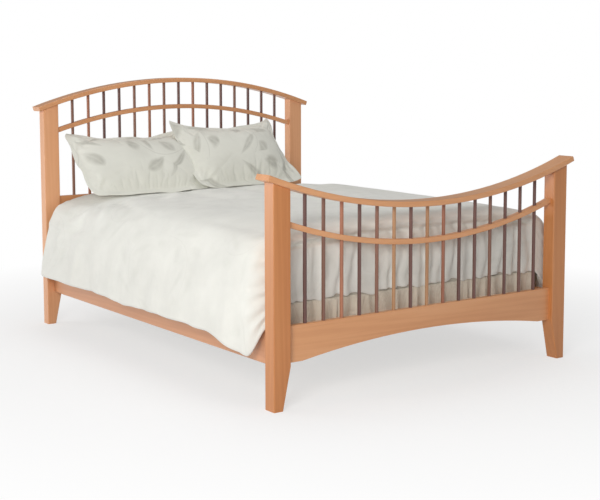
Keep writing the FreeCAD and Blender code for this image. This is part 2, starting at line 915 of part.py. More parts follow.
def wood_screws():
    shapes = []
    for end, mate, to_post in ((FOOT, rail_start, -1), (HEAD, rail_start + rail_length, 1)):
        for _, side in SIDES:
            for z in fitting_screw_z:
                head = (rail_mid_x * side, mate, z)
                shapes.append(screw(head, (0, to_post, 0), s.fitting_screw_length))
                shapes.append(screw(head, (0, -to_post, 0), s.fitting_screw_length))
    ledger_face = rail_mid_x - s.side_rail_thickness / 2 - s.ledger_width
    for _, side in SIDES:
        for number in range(LEDGER_SCREW_COUNT):
            y = rail_start + ledger_screw_y(number)
            head = (ledger_face * side, y, s.ledger_top - s.ledger_height / 2)
            shapes.append(screw(head, (side, 0, 0), s.ledger_screw_length))
    for number in LEG_SLATS:
        head = (ZERO, slat_y(number) + s.slat_width / 2, slat_top)
        shapes.append(screw(head, (0, 0, -1), s.leg_screw_length))
    return solid_feature("wood_screws", Part.makeCompound(shapes))


def solid_feature(label, shape, placement=None):
    feature = doc.addObject("Part::Feature", label)
    feature.Label = label
    feature.Shape = shape
    feature.Placement = placement or FreeCAD.Placement()
    return feature


# Box spring, mattress and the gathered skirt at the foot


def soft_block(label, width, length, bottom, height, corner, edge_round):
    """Build a padded block with round corners and sloped rims."""
    body = new_body(label, ZERO, mattress_head - length / 2, bottom)
    half_x = width / 2
    half_y = length / 2
    stock = block(
        body, "Additive", "stock", (-half_x, -half_y, ZERO), (half_x, half_y, height)
    )
    corners = ease(body, stock, "corners", corner, rises, "Fillet", "Radius")
    ease(body, corners, "rims", edge_round, lambda edge: not rises(edge))
    return body


def wavy_wire(z, half, back, front, wave, count):
    """Return a closed level outline with a straight back and a front in flat folds."""
    step = half / count
    points = [FreeCAD.Vector(-half, front, z)]
    for number in range(2 * count):
        start = -half + number * step
        swing = wave if number % 2 else -wave
        points.append(FreeCAD.Vector(start + step / 2, front + swing, z))
    corners = [(half, front), (half, back), (-half, back), (-half, front)]
    points += [FreeCAD.Vector(x, y, z) for x, y in corners]
    return Part.makePolygon(points)


def box_spring_skirt():
    """Hang a gathered strip of cloth on the foot of the box spring."""
    half = inner_half.value - s.skirt_side_gap.value / 2
    back = mattress_foot.value - s.skirt_back_gap.value
    front = back - s.skirt_thickness.value
    levels = (
        (s.skirt_bottom.value, s.skirt_gather.value),
        (s.skirt_top.value, s.skirt_gather.value / 4),
    )
    wires = [wavy_wire(z, half, back, front, wave, GATHER_COUNT) for z, wave in levels]
    return solid_feature("box_spring_skirt", Part.makeLoft(wires, True, True))


# Duvet


def duvet_hem(y):
    """Height of the side hem, which drops to a pointed corner near the foot."""
    point = mattress_foot.value + s.duvet_corner_run.value
    if y <= point:
        share = (point - y) / (point - duvet_front())
        return s.duvet_corner_hem.value + share * (
            s.duvet_corner_end_hem.value - s.duvet_corner_hem.value
        )
    share = min(1.0, (y - point) / s.duvet_corner_reach.value)
    return s.duvet_corner_hem.value + share * (s.duvet_side_hem.value - s.duvet_corner_hem.value)


def duvet_front():
    """Plane that the duvet's foot end is built from, behind its folds."""
    return (mattress_foot - s.duvet_foot_clearance - s.duvet_foot_thickness).value


def pressed_share(y):
    """How far the pillows press the duvet down here, from none at the foot to fully."""
    start = mattress_head.value - s.duvet_head_gap.value - s.duvet_pressed_length.value
    return min(1.0, max(0.0, (y - start) / s.duvet_press_slope.value))


def duvet_crown(y):
    """Height of the duvet's crown over its edges."""
    flattened = s.duvet_pressed_crown.value - s.duvet_crown.value
    return s.duvet_crown.value + pressed_share(y) * flattened


def duvet_outside(y, drop, wave, narrowed):
    """Return the right half of a section's outer points, from the hem upwards."""
    inner = half_width.value - s.side_rail_inset.value + s.duvet_rail_clearance.value
    outer = inner + s.duvet_side_thickness.value - narrowed
    edge = mattress_top.value + s.duvet_edge_height.value
    return [
        (inner, duvet_hem(y)),
        (outer + wave, duvet_hem(y)),
        (
            outer - s.duvet_belly_inset.value + wave * BELLY_FOLD_SHARE,
            edge - s.duvet_belly_drop.value,
        ),
        (
            outer - s.duvet_shoulder_inset.value + wave * SHOULDER_FOLD_SHARE,
            edge - s.duvet_shoulder_drop.value,
        ),
        (s.duvet_top_half.value - narrowed, edge - drop),
    ]


def bulged_middle(start, end, share):
    """Return a point that stands out from the middle of the chord between two points."""
    chord = end - start
    outward = FreeCAD.Vector(chord.z, 0, -chord.x)
    return (start + end) / 2 + outward * share


def duvet_section(y, drop, wave, ceiling, narrowed=0):
    """Return a closed upright section across the bed, open below the ceiling."""
    right = [FreeCAD.Vector(x, y, z) for x, z in duvet_outside(y, drop, wave, narrowed)]
    right.insert(4, bulged_middle(right[3], right[4], SHOULDER_BULGE_SHARE))
    edge = right[-1]
    for share in CROWN_STATION_SHARES:
        rise = duvet_crown(y) * (1 - share * share)
        right.append(FreeCAD.Vector(edge.x * share, y, edge.z + rise))
    inside = [FreeCAD.Vector(x, y, z) for x, z in ceiling]
    over = right + [FreeCAD.Vector(-p.x, p.y, p.z) for p in reversed(right)]
    under = [FreeCAD.Vector(-p.x, p.y, p.z) for p in inside] + list(reversed(inside))
    return Part.makePolygon(over + under + [right[0]])


def duvet():
    """Drape one padded sheet over the mattress, both side rails and the foot."""
    inner = half_width.value - s.side_rail_inset.value + s.duvet_rail_clearance.value
    chamfer = s.duvet_inner_chamfer.value
    around_mattress = [
        (inner, mattress_top.value - chamfer),
        (inner - chamfer, mattress_top.value),
    ]
    over_foot = [(inner, s.duvet_foot_hem.value)]
    foot = mattress_foot.value - s.duvet_foot_clearance.value
    head = mattress_head.value - s.duvet_head_gap.value
    front = duvet_front()
    round_off = s.duvet_end_round.value
    inset = s.duvet_front_inset.value
    foot_sections = [
        duvet_section(front, round_off, 0, over_foot, inset),
        duvet_section((front + foot) / 2, round_off / 4, 0, over_foot, inset / 4),
        duvet_section(foot, 0, 0, over_foot),
    ]
    point = mattress_foot.value + s.duvet_corner_run.value
    reach = point + s.duvet_corner_reach.value
    places = [foot, point, (point + reach) / 2]
    step = (head - reach) / SIDE_FOLD_STEPS
    places += [reach + step * number for number in range(SIDE_FOLD_STEPS + 1)]
    main_sections = []
    for y in places:
        turn = 2 * math.pi * (y - point) / s.duvet_fold_pitch.value
        swell = 0 if y == foot else s.duvet_side_fold.value * math.sin(turn)
        drop = round_off / 2 if y == head else s.duvet_pressed_drop.value * pressed_share(y)
        main_sections.append(duvet_section(y, drop, swell, around_mattress))
    half = inner_half.value
    wave = s.duvet_foot_fold.value / 2
    overlap = front + s.duvet_foot_thickness.value / 4
    folds = [
        wavy_wire(s.duvet_foot_hem.value, half, overlap, front, wave, FOOT_FOLD_COUNT),
        wavy_wire(s.duvet_foot_fold_top.value, half, overlap, front, wave / 4, FOOT_FOLD_COUNT),
    ]
    main = Part.makeLoft(main_sections, True, True)
    foot_drape = Part.makeLoft(foot_sections, True, True)
    foot_folds = Part.makeLoft(folds, True, True)
    return solid_feature("duvet", main.fuse([foot_drape, foot_folds]))


# Pillows


def pillow_filling():
    """Return the crowned filling, as wide at the ends as its seam lets it be."""
    half = s.pillow_width.value / 2 - s.pillow_flange.value
    bottom = s.pillow_flange.value
    top = s.pillow_height.value - s.pillow_flange.value
    middle = (bottom + top) / 2
    wires = []
    stations = list(zip(PILLOW_STATION_SHARES, PILLOW_THICKNESS_SHARES))
    mirrored = [(-place, share) for place, share in reversed(stations[1:])]
    for place, share in mirrored + stations:
        x = half * place
        draw = s.pillow_draw_in.value * (1 - place * place)
        crown = s.pillow_thickness.value / 2 * share
        half_height = middle - bottom - draw
        front = []
        for step in range(PILLOW_SPAN_STEPS + 1):
            across = 1 - 2 * step / PILLOW_SPAN_STEPS
            rise = crown * (1 - across * across)
            front.append(FreeCAD.Vector(x, middle - half_height * across, rise))
        back = [FreeCAD.Vector(p.x, p.y, -p.z) for p in reversed(front[1:-1])]
        wires.append(Part.makePolygon(front + back + [front[0]]))
    return Part.makeLoft(wires, True, True)


def pillow_flange():
    """Return the flat border, drawn in along each side between its corners."""
    half = s.pillow_width.value / 2
    top = s.pillow_height.value
    draw = s.pillow_draw_in.value
    level = -s.pillow_flange_thickness.value / 2
    corners = [(-half, 0), (half, 0), (half, top), (-half, top)]
    bends = [(0, draw), (half - draw, top / 2), (0, top - draw), (draw - half, top / 2)]
    points = [FreeCAD.Vector(x, y, level) for x, y in corners]
    middles = [FreeCAD.Vector(x, y, level) for x, y in bends]
    edges = [
        Part.Arc(point, middle, points[(number + 1) % 4]).toShape()
        for number, (point, middle) in enumerate(zip(points, middles))
    ]
    face = Part.Face(Part.Wire(edges))
    return face.extrude(FreeCAD.Vector(0, 0, s.pillow_flange_thickness.value))


def pillow(label, x, rise, turn, forward):
    """Lean a pillow back above the duvet, with its upper edge before the headboard."""
    slope = math.asin(rise.value / s.pillow_height.value)
    yaw = math.asin(turn.value / s.pillow_width.value)
    lean = FreeCAD.Rotation(FreeCAD.Vector(1, 0, 0), math.degrees(slope))
    rotation = FreeCAD.Rotation(FreeCAD.Vector(0, 0, 1), math.degrees(yaw)) * lean
    shape = pillow_filling().fuse(pillow_flange())
    cap_front = head_face - s.head_post_depth - s.cap_face_overhang - s.pillow_top_gap
    reach = s.pillow_height.value * math.cos(slope)
    crown = mattress_top + s.duvet_edge_height + s.duvet_crown
    place = FreeCAD.Vector(x.value, cap_front.value - forward.value - reach, crown.value)
    return solid_feature(label, shape, FreeCAD.Placement(place, rotation))


def settle(piece, carriers, direction):
    """Move a piece along a direction until only the clearance is left."""
    carried = Part.makeCompound([carrier.Shape for carrier in carriers])
    way = FreeCAD.Vector(*direction)
    for _ in range(SETTLE_STEPS):
        gap = piece.Shape.distToShape(carried)[0] - s.pillow_clearance.value
        piece.Placement.move(way * gap)


def pillows(bedding):
    """Let both pillows down onto the duvet, and lean the right one on the left."""
    left = pillow("pillow_left", -s.left_pillow_shift, s.left_pillow_rise, ZERO, ZERO)
    settle(left, [bedding], (0, 0, -1))
    right = pillow(
        "pillow_right",
        s.right_pillow_shift,
        s.right_pillow_rise,
        s.right_pillow_turn,
        s.right_pillow_forward,
    )
    settle(right, [bedding], (0, 0, -1))
    settle(right, [left], (0, 1, 0))
    return [left, right]


def build():
    """Build every sub-part, in the order that the bed is put together."""
    pieces = []
    fittings = {"hook_plates": [], "slot_plates": []}
    for end in (FOOT, HEAD):
        for side_name, side in SIDES:
            pieces.append(post(end, side_name, side))
            fittings["hook_plates"].append(rail_plate(end, side_name, side, True))
            fittings["slot_plates"].append(rail_plate(end, side_name, side, False))
        pieces.append(cap(end))
        pieces.append(mid_rail(end))
        pieces += [dowel(end, number) for number in range(DOWEL_COUNT)]
    pieces.append(low_rail(FOOT, "foot_bottom_rail"))
    pieces.append(low_rail(HEAD, "head_lower_rail"))
    for side_name, side in SIDES:
        pieces.append(side_rail(side_name, side))
        pieces.append(ledger(side_name, side))
    pieces += [slat(number) for number in range(SLAT_COUNT)]
    pieces.append(group("centre_legs", [centre_leg(number) for number in LEG_SLATS]))
    pieces += [group(label, members) for label, members in fittings.items()]
    pieces.append(wood_screws())
    pieces.append(
        soft_block(
            "box_spring",
            s.box_spring_width,
            s.mattress_length,
            slat_top,
            s.box_spring_height,
            s.box_spring_corner,
            s.box_spring_ease,
        )
    )
    pieces.append(box_spring_skirt())
    pieces.append(
        soft_block(
            "mattress",
            s.mattress_width,
            s.mattress_length,
            mattress_bottom,
            s.mattress_height,
            s.mattress_corner,
            s.mattress_ease,
        )
    )
    bedding = duvet()
    return pieces + [bedding] + pillows(bedding)


def check(pieces):
    """Stop if any object failed or any sub-part is not a sound shape."""
    for item in doc.Objects:
        if "Invalid" in item.State or "Error" in item.State:
            raise RuntimeError(f"{item.Label} did not build: {item.State}")
    for piece in pieces:
        if piece.Shape.isNull() or not piece.Shape.isValid() or not piece.Shape.Solids:
            raise RuntimeError(f"{piece.Label} is not a valid solid")


def export(pieces):
    os.makedirs("parts", exist_ok=True)
    for piece in pieces:
        piece.Shape.exportStep(f"parts/{piece.Label}.step")


pieces = build()
doc.recompute()
check(pieces)
export(pieces)
for piece in pieces:
    box = piece.Shape.BoundBox
    count = len(piece.Shape.Solids)
    print(f"{piece.Label}: {count} solid(s), {box.XLength:.0f} x {box.YLength:.0f} x {box.ZLength:.0f}")
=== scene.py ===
import math

import bpy
import numpy as np
from mathutils import Euler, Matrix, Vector, noise


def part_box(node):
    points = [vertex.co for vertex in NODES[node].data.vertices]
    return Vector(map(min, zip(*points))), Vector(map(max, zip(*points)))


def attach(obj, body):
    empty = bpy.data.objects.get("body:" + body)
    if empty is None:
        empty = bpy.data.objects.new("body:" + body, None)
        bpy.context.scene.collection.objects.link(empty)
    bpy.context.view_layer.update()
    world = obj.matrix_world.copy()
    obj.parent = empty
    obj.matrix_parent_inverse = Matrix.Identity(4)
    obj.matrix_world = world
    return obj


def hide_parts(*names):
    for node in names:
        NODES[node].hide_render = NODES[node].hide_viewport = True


# A dressed dowel bed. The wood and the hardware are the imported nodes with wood
# and metal materials. The bedding is modelled here around the same frame.

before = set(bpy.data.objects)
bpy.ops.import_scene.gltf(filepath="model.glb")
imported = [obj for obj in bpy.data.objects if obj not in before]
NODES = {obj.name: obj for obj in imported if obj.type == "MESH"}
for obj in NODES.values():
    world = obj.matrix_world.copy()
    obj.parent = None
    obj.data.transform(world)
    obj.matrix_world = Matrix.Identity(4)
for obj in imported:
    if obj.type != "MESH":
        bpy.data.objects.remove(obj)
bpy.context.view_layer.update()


# Node trees


class Nodes:
    """Short calls for the nodes and links of one node tree."""

    def __init__(self, tree):
        self.tree = tree
        self.tree.nodes.clear()

    def add(self, kind, sockets=None, **settings):
        node = self.tree.nodes.new(f"ShaderNode{kind}")
        for name, value in settings.items():
            setattr(node, name, value)
        for key, value in (sockets or {}).items():
            self.give(node.inputs[key], value)
        return node

    def give(self, socket, value):
        """Link a socket to another one, or set its value."""
        if isinstance(value, bpy.types.NodeSocket):
            self.tree.links.new(value, socket)
        else:
            socket.default_value = value

    def math(self, operation, *values, clamp=False):
        sockets = dict(enumerate(values))
        return self.add("Math", sockets, operation=operation, use_clamp=clamp).outputs[0]

    def times(self, first, second):
        return self.math("MULTIPLY", first, second)

    def scaled(self, value, factor, shift, clamp=False):
        return self.math("MULTIPLY_ADD", value, factor, shift, clamp=clamp)


class Shade(Nodes):
    """A material under construction. place is a point's place in the frame."""

    def __init__(self, name):
        self.material = bpy.data.materials.new(name)
        self.material.use_nodes = True
        super().__init__(self.material.node_tree)
        self.shader = self.add("BsdfPrincipled")
        self.output = self.add("OutputMaterial", {"Surface": self.shader.outputs["BSDF"]})
        self.place = self.add("TexCoord").outputs["Object"]

    def surface(self, values):
        """Set or link inputs of the surface shader, by their names."""
        for name, value in values.items():
            self.give(self.shader.inputs[name], value)

    def vector(self, operation, first, second):
        node = self.add("VectorMath", {0: first, 1: second}, operation=operation)
        return node.outputs[0]

    def ramp(self, value, stops):
        node = self.add("ValToRGB", {0: value})
        elements = node.color_ramp.elements
        while len(elements) < len(stops):
            elements.new(0.5)
        for element, (place, colour) in zip(elements, stops):
            element.position = place
            element.color = (*colour, 1.0)
        return node.outputs[0]

    def mix(self, share, first, second):
        node = self.add("Mix", data_type="RGBA")
        self.give(node.inputs["Factor"], share)
        for socket, colour in ((node.inputs[6], first), (node.inputs[7], second)):
            self.give(socket, (*colour, 1.0) if isinstance(colour, tuple) else colour)
        return node.outputs[2]

    def noise(self, where, scale=1.0, detail=2.0, roughness=0.5, distortion=0.0):
        values = {"Vector": where, "Scale": scale, "Detail": detail}
        values.update({"Roughness": roughness, "Distortion": distortion})
        return self.add("TexNoise", values).outputs[0]

    def waves(self, where, scale, distortion, direction, detail=1.0, finer=1.0, roughness=0.5):
        values = {"Vector": where, "Scale": scale, "Distortion": distortion, "Detail": detail}
        values.update({"Detail Scale": finer, "Detail Roughness": roughness})
        return self.add("TexWave", values, bands_direction=direction).outputs["Fac"]

    def stretched(self, where, scale, shift=(0, 0, 0)):
        values = {"Vector": where, "Scale": scale, "Location": shift}
        return self.add("Mapping", values).outputs[0]

    def bump(self, height, distance, strength, under=None):
        node = self.add("Bump", {"Height": height, "Distance": distance, "Strength": strength})
        if under is not None:
            self.give(node.inputs["Normal"], under)
        return node.outputs[0]


def linear(colour, step=0):
    """Turn a colour from a screen, a step brighter, into linear light."""
    out = []
    for part in colour:
        share = min(part + step, 255) / 255
        out.append(share / 12.92 if share <= 0.04045 else ((share + 0.055) / 1.055) ** 2.4)
    return tuple(out)


# Wood and metal


def wood(name, axis, tones, roughness=0.42, contrast=1.0, shift=0.0):
    """Wood whose grain runs along one axis of the frame. tones go from pale to dark."""
    shade = Shade(name)
    pale, middle, dark = (linear(tone) for tone in tones)
    broad_share, line_share, fibre_share, pore_share = 0.56, 0.07, 0.2, 0.16

    def along(length_scale, cross_scale):
        scale = [cross_scale] * 3
        scale[axis] = length_scale
        return shade.stretched(shade.place, scale, (shift, shift * 1.7, shift * 0.6))

    broad = shade.noise(along(0.8, 7.0), distortion=0.3)
    lines = shade.waves(
        along(0.30, 9.0), scale=2.6, distortion=7.0, direction="DIAGONAL", detail=3.0, finer=1.1,
        roughness=0.6,
    )
    fibre = shade.noise(along(7.0, 380.0), detail=3.0, roughness=0.6)
    pores = shade.noise(along(22.0, 900.0), detail=1.0, roughness=0.4)
    # The figure sways round a half, where the middle tone lies.
    base = 0.5 - broad_share / 2 * contrast
    figure = shade.scaled(broad, broad_share * contrast, base)
    for part, share in ((lines, line_share), (fibre, fibre_share)):
        centred = shade.math("ADD", part, -0.5)
        figure = shade.scaled(centred, share * contrast, figure)
    colour = shade.ramp(figure, [(0.26, dark), (0.5, middle), (0.74, pale)])
    flecks = shade.ramp(pores, [(0.62, (0, 0, 0)), (0.78, (1, 1, 1))])
    colour = shade.mix(shade.times(flecks, pore_share * contrast), colour, dark)
    rough_range = 0.16
    rough = shade.scaled(fibre, rough_range, roughness - rough_range / 2)
    grain = shade.math("ADD", fibre, shade.times(flecks, -0.6))
    shade.surface({
        "Base Color": colour,
        "Roughness": rough,
        "Normal": shade.bump(grain, 0.00012, 0.5),
        "Specular IOR Level": 0.42,
        "Coat Weight": 0.55,
        "Coat Roughness": 0.32,
    })
    return shade.material


# Each board's grain axis and tones. The head posts' paler tones are painted light: they stand in for
# the brighter light that falls on the head posts.
CHERRY_TONES = {
    "foot_post": (2, ((217, 149, 92), (204, 133, 76), (187, 114, 60))),
    "head_post": (2, ((243, 182, 137), (234, 170, 122), (217, 148, 99))),
    "end_rail": (0, ((234, 175, 128), (224, 161, 111), (206, 139, 90))),
    "side_rail": (1, ((229, 169, 126), (217, 154, 109), (199, 133, 89))),
}
CHERRY = {
    board: wood(f"cherry_{board}", axis, tones, shift=0.37 * number)
    for number, (board, (axis, tones)) in enumerate(CHERRY_TONES.items())
}
WALNUT_TONES = {
    "dark": ((128, 88, 78), (104, 68, 60), (78, 48, 42)),
    "brown": ((156, 112, 90), (132, 90, 72), (98, 64, 52)),
    "warm": ((192, 130, 98), (168, 108, 80), (128, 78, 58)),
    "light": ((200, 154, 112), (176, 130, 92), (136, 96, 66)),
}
WALNUT = {
    tone: wood(f"walnut_{tone}", 2, tones, roughness=0.45, contrast=0.9, shift=2.0 + number)
    for number, (tone, tones) in enumerate(WALNUT_TONES.items())
}
POPLAR_TONES = ((226, 205, 168), (212, 188, 148), (190, 162, 120))
POPLAR = [
    wood(f"poplar_{letter}", axis, POPLAR_TONES, roughness=0.6, contrast=0.7, shift=5.1 + axis)
    for axis, letter in enumerate("xyz")
]


def zinc():
    shade = Shade("zinc_plate")
    blotch = shade.noise(shade.place, scale=160.0, detail=3.0, roughness=0.6)
    scratch = shade.noise(shade.stretched(shade.place, (900, 900, 30)))
    dull, bright = linear((164, 164, 158)), linear((205, 206, 200))
    shade.surface({
        "Base Color": shade.ramp(blotch, [(0.3, dull), (0.7, bright)]),
        "Roughness": shade.scaled(scratch, 0.25, 0.22),
        "Normal": shade.bump(scratch, 0.00005, 0.6),
        "Metallic": 1.0,
    })
    return shade.material


ZINC = zinc()


# Cloth materials


def leaf_mask(shade, cloth, cell, leaf, spacing, reach, soft, seed):
    """Sprays of paired leaves along short stems, strewn over the cloth at random turns.

    A cell holds one spray, which goes as far as reach each way. leaf is a leaf's length,
    spacing the way from one leaf to the next, and soft the share that fades at its edge.
    """
    randomness, bend, wander, fade = 0.55, 0.9, 0.012, 0.02
    lean, root_share, middle_share, belly_share = math.radians(52), 0.18, 0.56, 0.2
    vein_share, vein_tone, stem_share, stem_tone = 0.04, 0.7, 0.03, 0.5
    moved = shade.vector("ADD", cloth, (seed, seed * 0.61, 0))
    values = {"Vector": moved, "Scale": 1 / cell, "Randomness": randomness}
    scattered = shade.add("TexVoronoi", values, voronoi_dimensions="2D")
    local = shade.vector("SUBTRACT", moved, scattered.outputs["Position"])
    chance = shade.add("SeparateColor", {0: scattered.outputs["Color"]})
    angle = shade.times(chance.outputs[0], math.tau)
    turned = shade.add("VectorRotate", {"Vector": local, "Angle": angle}, rotation_type="Z_AXIS")
    split = shade.add("SeparateXYZ", {0: turned.outputs[0]})
    x = split.outputs[0]
    bow = shade.times(shade.times(x, x), bend / reach)
    y = shade.math("ADD", split.outputs[1], bow)
    y = shade.scaled(shade.noise(cloth, scale=9.0, detail=1.0), wander, y)
    y = shade.math("ADD", y, -wander / 2)
    # Leaves on one side of the stem stand between those on the other.
    side = shade.math("GREATER_THAN", y, 0.0)
    slid = shade.scaled(side, spacing / 2, x)
    # Twenty spacings more keep it above 0, where MODULO runs evenly.
    slid = shade.math("ADD", slid, spacing * 20)
    step = shade.math("SUBTRACT", shade.math("MODULO", slid, spacing), spacing * root_share)
    out = shade.math("ABSOLUTE", y)
    # The leaf's own axes: it leans away from the stem.
    ahead = shade.times(step, math.cos(lean))
    ahead = shade.scaled(out, math.sin(lean), ahead)
    ahead = shade.math("SUBTRACT", ahead, leaf * middle_share)
    aside = shade.times(step, -math.sin(lean))
    aside = shade.math("ABSOLUTE", shade.scaled(out, math.cos(lean), aside))
    share = shade.math("DIVIDE", ahead, leaf / 2)
    belly = shade.math("SUBTRACT", 1.0, shade.times(share, share))
    inside = shade.math("SUBTRACT", shade.times(belly, leaf * belly_share), aside)
    blade = shade.math("DIVIDE", inside, leaf * soft, clamp=True)
    vein = shade.math("DIVIDE", aside, leaf * vein_share, clamp=True)
    vein = shade.scaled(vein, 1 - vein_tone, vein_tone)
    blade = shade.times(blade, vein)
    stem = shade.math("SUBTRACT", leaf * stem_share, out)
    stem = shade.math("DIVIDE", stem, leaf * stem_share, clamp=True)
    both = shade.math("MAXIMUM", blade, shade.times(stem, stem_tone))
    ends = shade.math("SUBTRACT", reach, shade.math("ABSOLUTE", x))
    ends = shade.math("DIVIDE", ends, fade, clamp=True)
    return shade.times(both, ends)


def linen(name, ground, print_colour, strength, **spray):
    """Cotton sateen with a tonal leaf print, a fine weave, and creases in its folds."""
    shade = Shade(name)
    cloth = shade.add("UVMap", uv_map="cloth").outputs[0]
    leaves = leaf_mask(shade, cloth, **spray)
    wash = shade.noise(cloth, scale=14.0, detail=3.0, roughness=0.6)
    worn = shade.scaled(wash, 1.3, 0.1, clamp=True)
    tone = shade.noise(cloth, scale=5.0, detail=3.0, roughness=0.6)
    tone = shade.scaled(tone, 2.2, -0.6, clamp=True)
    slub = shade.noise(shade.stretched(cloth, (35, 520, 1)))
    base = shade.mix(tone, linear(ground, -7), linear(ground, 5))
    base = shade.mix(shade.times(slub, 0.14), base, linear(ground, -16))
    printed = shade.times(shade.times(leaves, worn), strength)
    warp, weft = (
        shade.waves(cloth, scale=260.0, distortion=0.6, direction=direction) for direction in "XY"
    )
    weave = shade.scaled(leaves, 0.5, shade.math("MAXIMUM", warp, weft))
    crumple = shade.noise(
        shade.vector("ADD", shade.place, (3.1, 0.7, 1.9)), scale=11.0, detail=4.0, roughness=0.55,
        distortion=0.6,
    )
    fine = shade.bump(weave, 0.00009, 0.5)
    shade.surface({
        "Base Color": shade.mix(printed, base, linear(print_colour)),
        "Roughness": shade.scaled(leaves, -0.12, 0.74),
        "Normal": shade.bump(crumple, 0.006, 0.55, under=fine),
        "Specular IOR Level": 0.3,
        "Sheen Weight": 0.25,
        "Sheen Roughness": 0.5,
    })
    return shade.material


def plain_cloth(name, pale, dark, scale, weave_scale, crumple=0.0, quilt=0.0):
    """A plain woven cloth, whose threads follow the frame's axes.

    crumple is the depth of its creases, and quilt the size of its quilted diamonds.
    """
    shade = Shade(name)
    weave_share = 0.35
    tone = shade.noise(shade.place, scale, detail=4.0, roughness=0.6)
    threads = [shade.waves(shade.place, weave_scale, 0.8, direction) for direction in "XYZ"]
    weave = shade.math("ADD", shade.math("ADD", threads[0], threads[1]), threads[2])
    weave = shade.times(weave, 1 / 3)
    figure = shade.times(tone, 1 - weave_share)
    figure = shade.scaled(weave, weave_share, figure)
    relief = shade.bump(weave, 0.0004, 0.6)
    if crumple:
        where = shade.stretched(shade.place, (1, 1, 0.6))
        creases = shade.noise(where, scale=17.0, detail=4.0, roughness=0.6, distortion=1.2)
        relief = shade.bump(creases, crumple, 0.7, under=relief)
    if quilt:
        split = shade.add("SeparateXYZ", {0: shade.place})
        seams = []
        for sign in (1.0, -1.0):
            along = shade.scaled(split.outputs[1], sign, split.outputs[0])
            swing = shade.math("SINE", shade.times(along, math.pi / quilt))
            seams.append(shade.math("POWER", shade.math("ABSOLUTE", swing), 0.4))
        puffs = shade.times(seams[0], seams[1])
        relief = shade.bump(puffs, 0.004, 0.8, under=relief)
    shade.surface({
        "Base Color": shade.ramp(figure, [(0.3, linear(dark)), (0.7, linear(pale))]),
        "Roughness": 0.85,
        "Normal": relief,
        "Sheen Weight": 0.2,
        "Specular IOR Level": 0.25,
    })
    return shade.material


DUVET_CLOTH = linen(
    "duvet_sateen", (240, 240, 233), (214, 215, 205), strength=0.5,
    cell=0.40, leaf=0.15, spacing=0.115, reach=0.17, soft=0.3, seed=4.2,
)
PILLOW_CLOTH = linen(
    "pillow_sateen", (237, 237, 227), (184, 183, 172), strength=0.8,
    cell=0.36, leaf=0.17, spacing=0.14, reach=0.19, soft=0.11, seed=7.7,
)
TICKING = plain_cloth("mattress_ticking", (238, 236, 228), (222, 219, 209), 18.0, 150.0, quilt=0.11)
TAPE = plain_cloth("edge_tape", (205, 203, 195), (180, 178, 168), 40.0, 220.0)
BASE_CLOTH = plain_cloth("box_spring_cloth", (214, 208, 194), (190, 182, 166), 24.0, 120.0)
SKIRT_CLOTH = plain_cloth("skirt_cloth", (240, 232, 216), (216, 205, 186), 9.0, 160.0, crumple=0.012)


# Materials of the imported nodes


def paint(node, material):
    NODES[node].data.materials.clear()
    NODES[node].data.materials.append(material)


# Tones of the dowels that aren't dark, by number from the left
DOWEL_TONES = {
    "foot": {2: "brown", 3: "warm", 5: "brown", 6: "light", 8: "light", 9: "warm", 12: "brown"},
    "head": {1: "brown", 2: "warm", 5: "brown", 6: "warm", 7: "brown", 9: "warm", 12: "brown"},
}
for end, tones in DOWEL_TONES.items():
    for number in range(1, 16):
        paint(f"{end}_dowel_{number:02d}", WALNUT[tones.get(number, "dark")])
    for side in ("left", "right"):
        paint(f"{end}_post_{side}", CHERRY[f"{end}_post"])
    for rail in ("cap", "mid_rail"):
        paint(f"{end}_{rail}", CHERRY["end_rail"])
for node in ("foot_bottom_rail", "head_lower_rail"):
    paint(node, CHERRY["end_rail"])
for side in ("left", "right"):
    paint(f"side_rail_{side}", CHERRY["side_rail"])
    paint(f"ledger_{side}", POPLAR[1])
for number in range(1, 7):
    paint(f"slat_{number}", POPLAR[0])
paint("centre_legs", POPLAR[2])
for node in ("hook_plates", "slot_plates", "wood_screws"):
    paint(node, ZINC)


# Meshes


def linked(name, data):
    """Make an object and link it to the scene."""
    obj = bpy.data.objects.new(name, data)
    bpy.context.scene.collection.objects.link(obj)
    return obj


def smooth_object(name, vertices, faces, material, cloth=None):
    """Make a smooth mesh object. cloth gives each vertex its place on the flat cloth."""
    mesh = bpy.data.meshes.new(name)
    mesh.from_pydata([tuple(v) for v in vertices], [], faces)
    mesh.materials.append(material)
    mesh.polygons.foreach_set("use_smooth", [True] * len(mesh.polygons))
    if cloth is not None:
        layer = mesh.uv_layers.new(name="cloth")
        corner = np.zeros(len(mesh.loops), int)
        mesh.loops.foreach_get("vertex_index", corner)
        layer.data.foreach_set("uv", np.asarray(cloth, float)[corner].ravel())
    mesh.validate()
    return linked(name, mesh)


def subdivide(obj):
    modifier = obj.modifiers.new("soft", "SUBSURF")
    modifier.levels = 1
    modifier.render_levels = 1


def points_of(obj):
    flat = np.zeros(len(obj.data.vertices) * 3)
    obj.data.vertices.foreach_get("co", flat)
    return flat.reshape(-1, 3)


def grid_quads(columns, rows, flip=False):
    """List the quads of a grid whose vertices run row by row."""
    across = columns + 1
    quads = []
    for row in range(rows):
        for column in range(columns):
            a = row * across + column
            quad = (a, a + 1, a + 1 + across, a + across)
            quads.append((a, *quad[:0:-1]) if flip else quad)
    return quads


def turned_over(face, step):
    """Give a face's twin on the other side, whose vertices come step later."""
    return tuple(index + step for index in reversed(face))


def boundary_loop(faces):
    """Return the open border of a mesh as one ordered loop of vertices."""
    seen = {edge: True for face in faces for edge in zip(face, face[1:] + face[:1])}
    ahead = {a: b for a, b in seen if (b, a) not in seen}
    start = next(iter(ahead))
    loop = [start]
    while ahead[loop[-1]] != start:
        loop.append(ahead[loop[-1]])
    return loop


def rim_quads(loop, step):
    """Join a border to its twin on the other side, whose vertices come step later."""
    return [(b, a, a + step, b + step) for a, b in zip(loop, loop[1:] + loop[:1])]


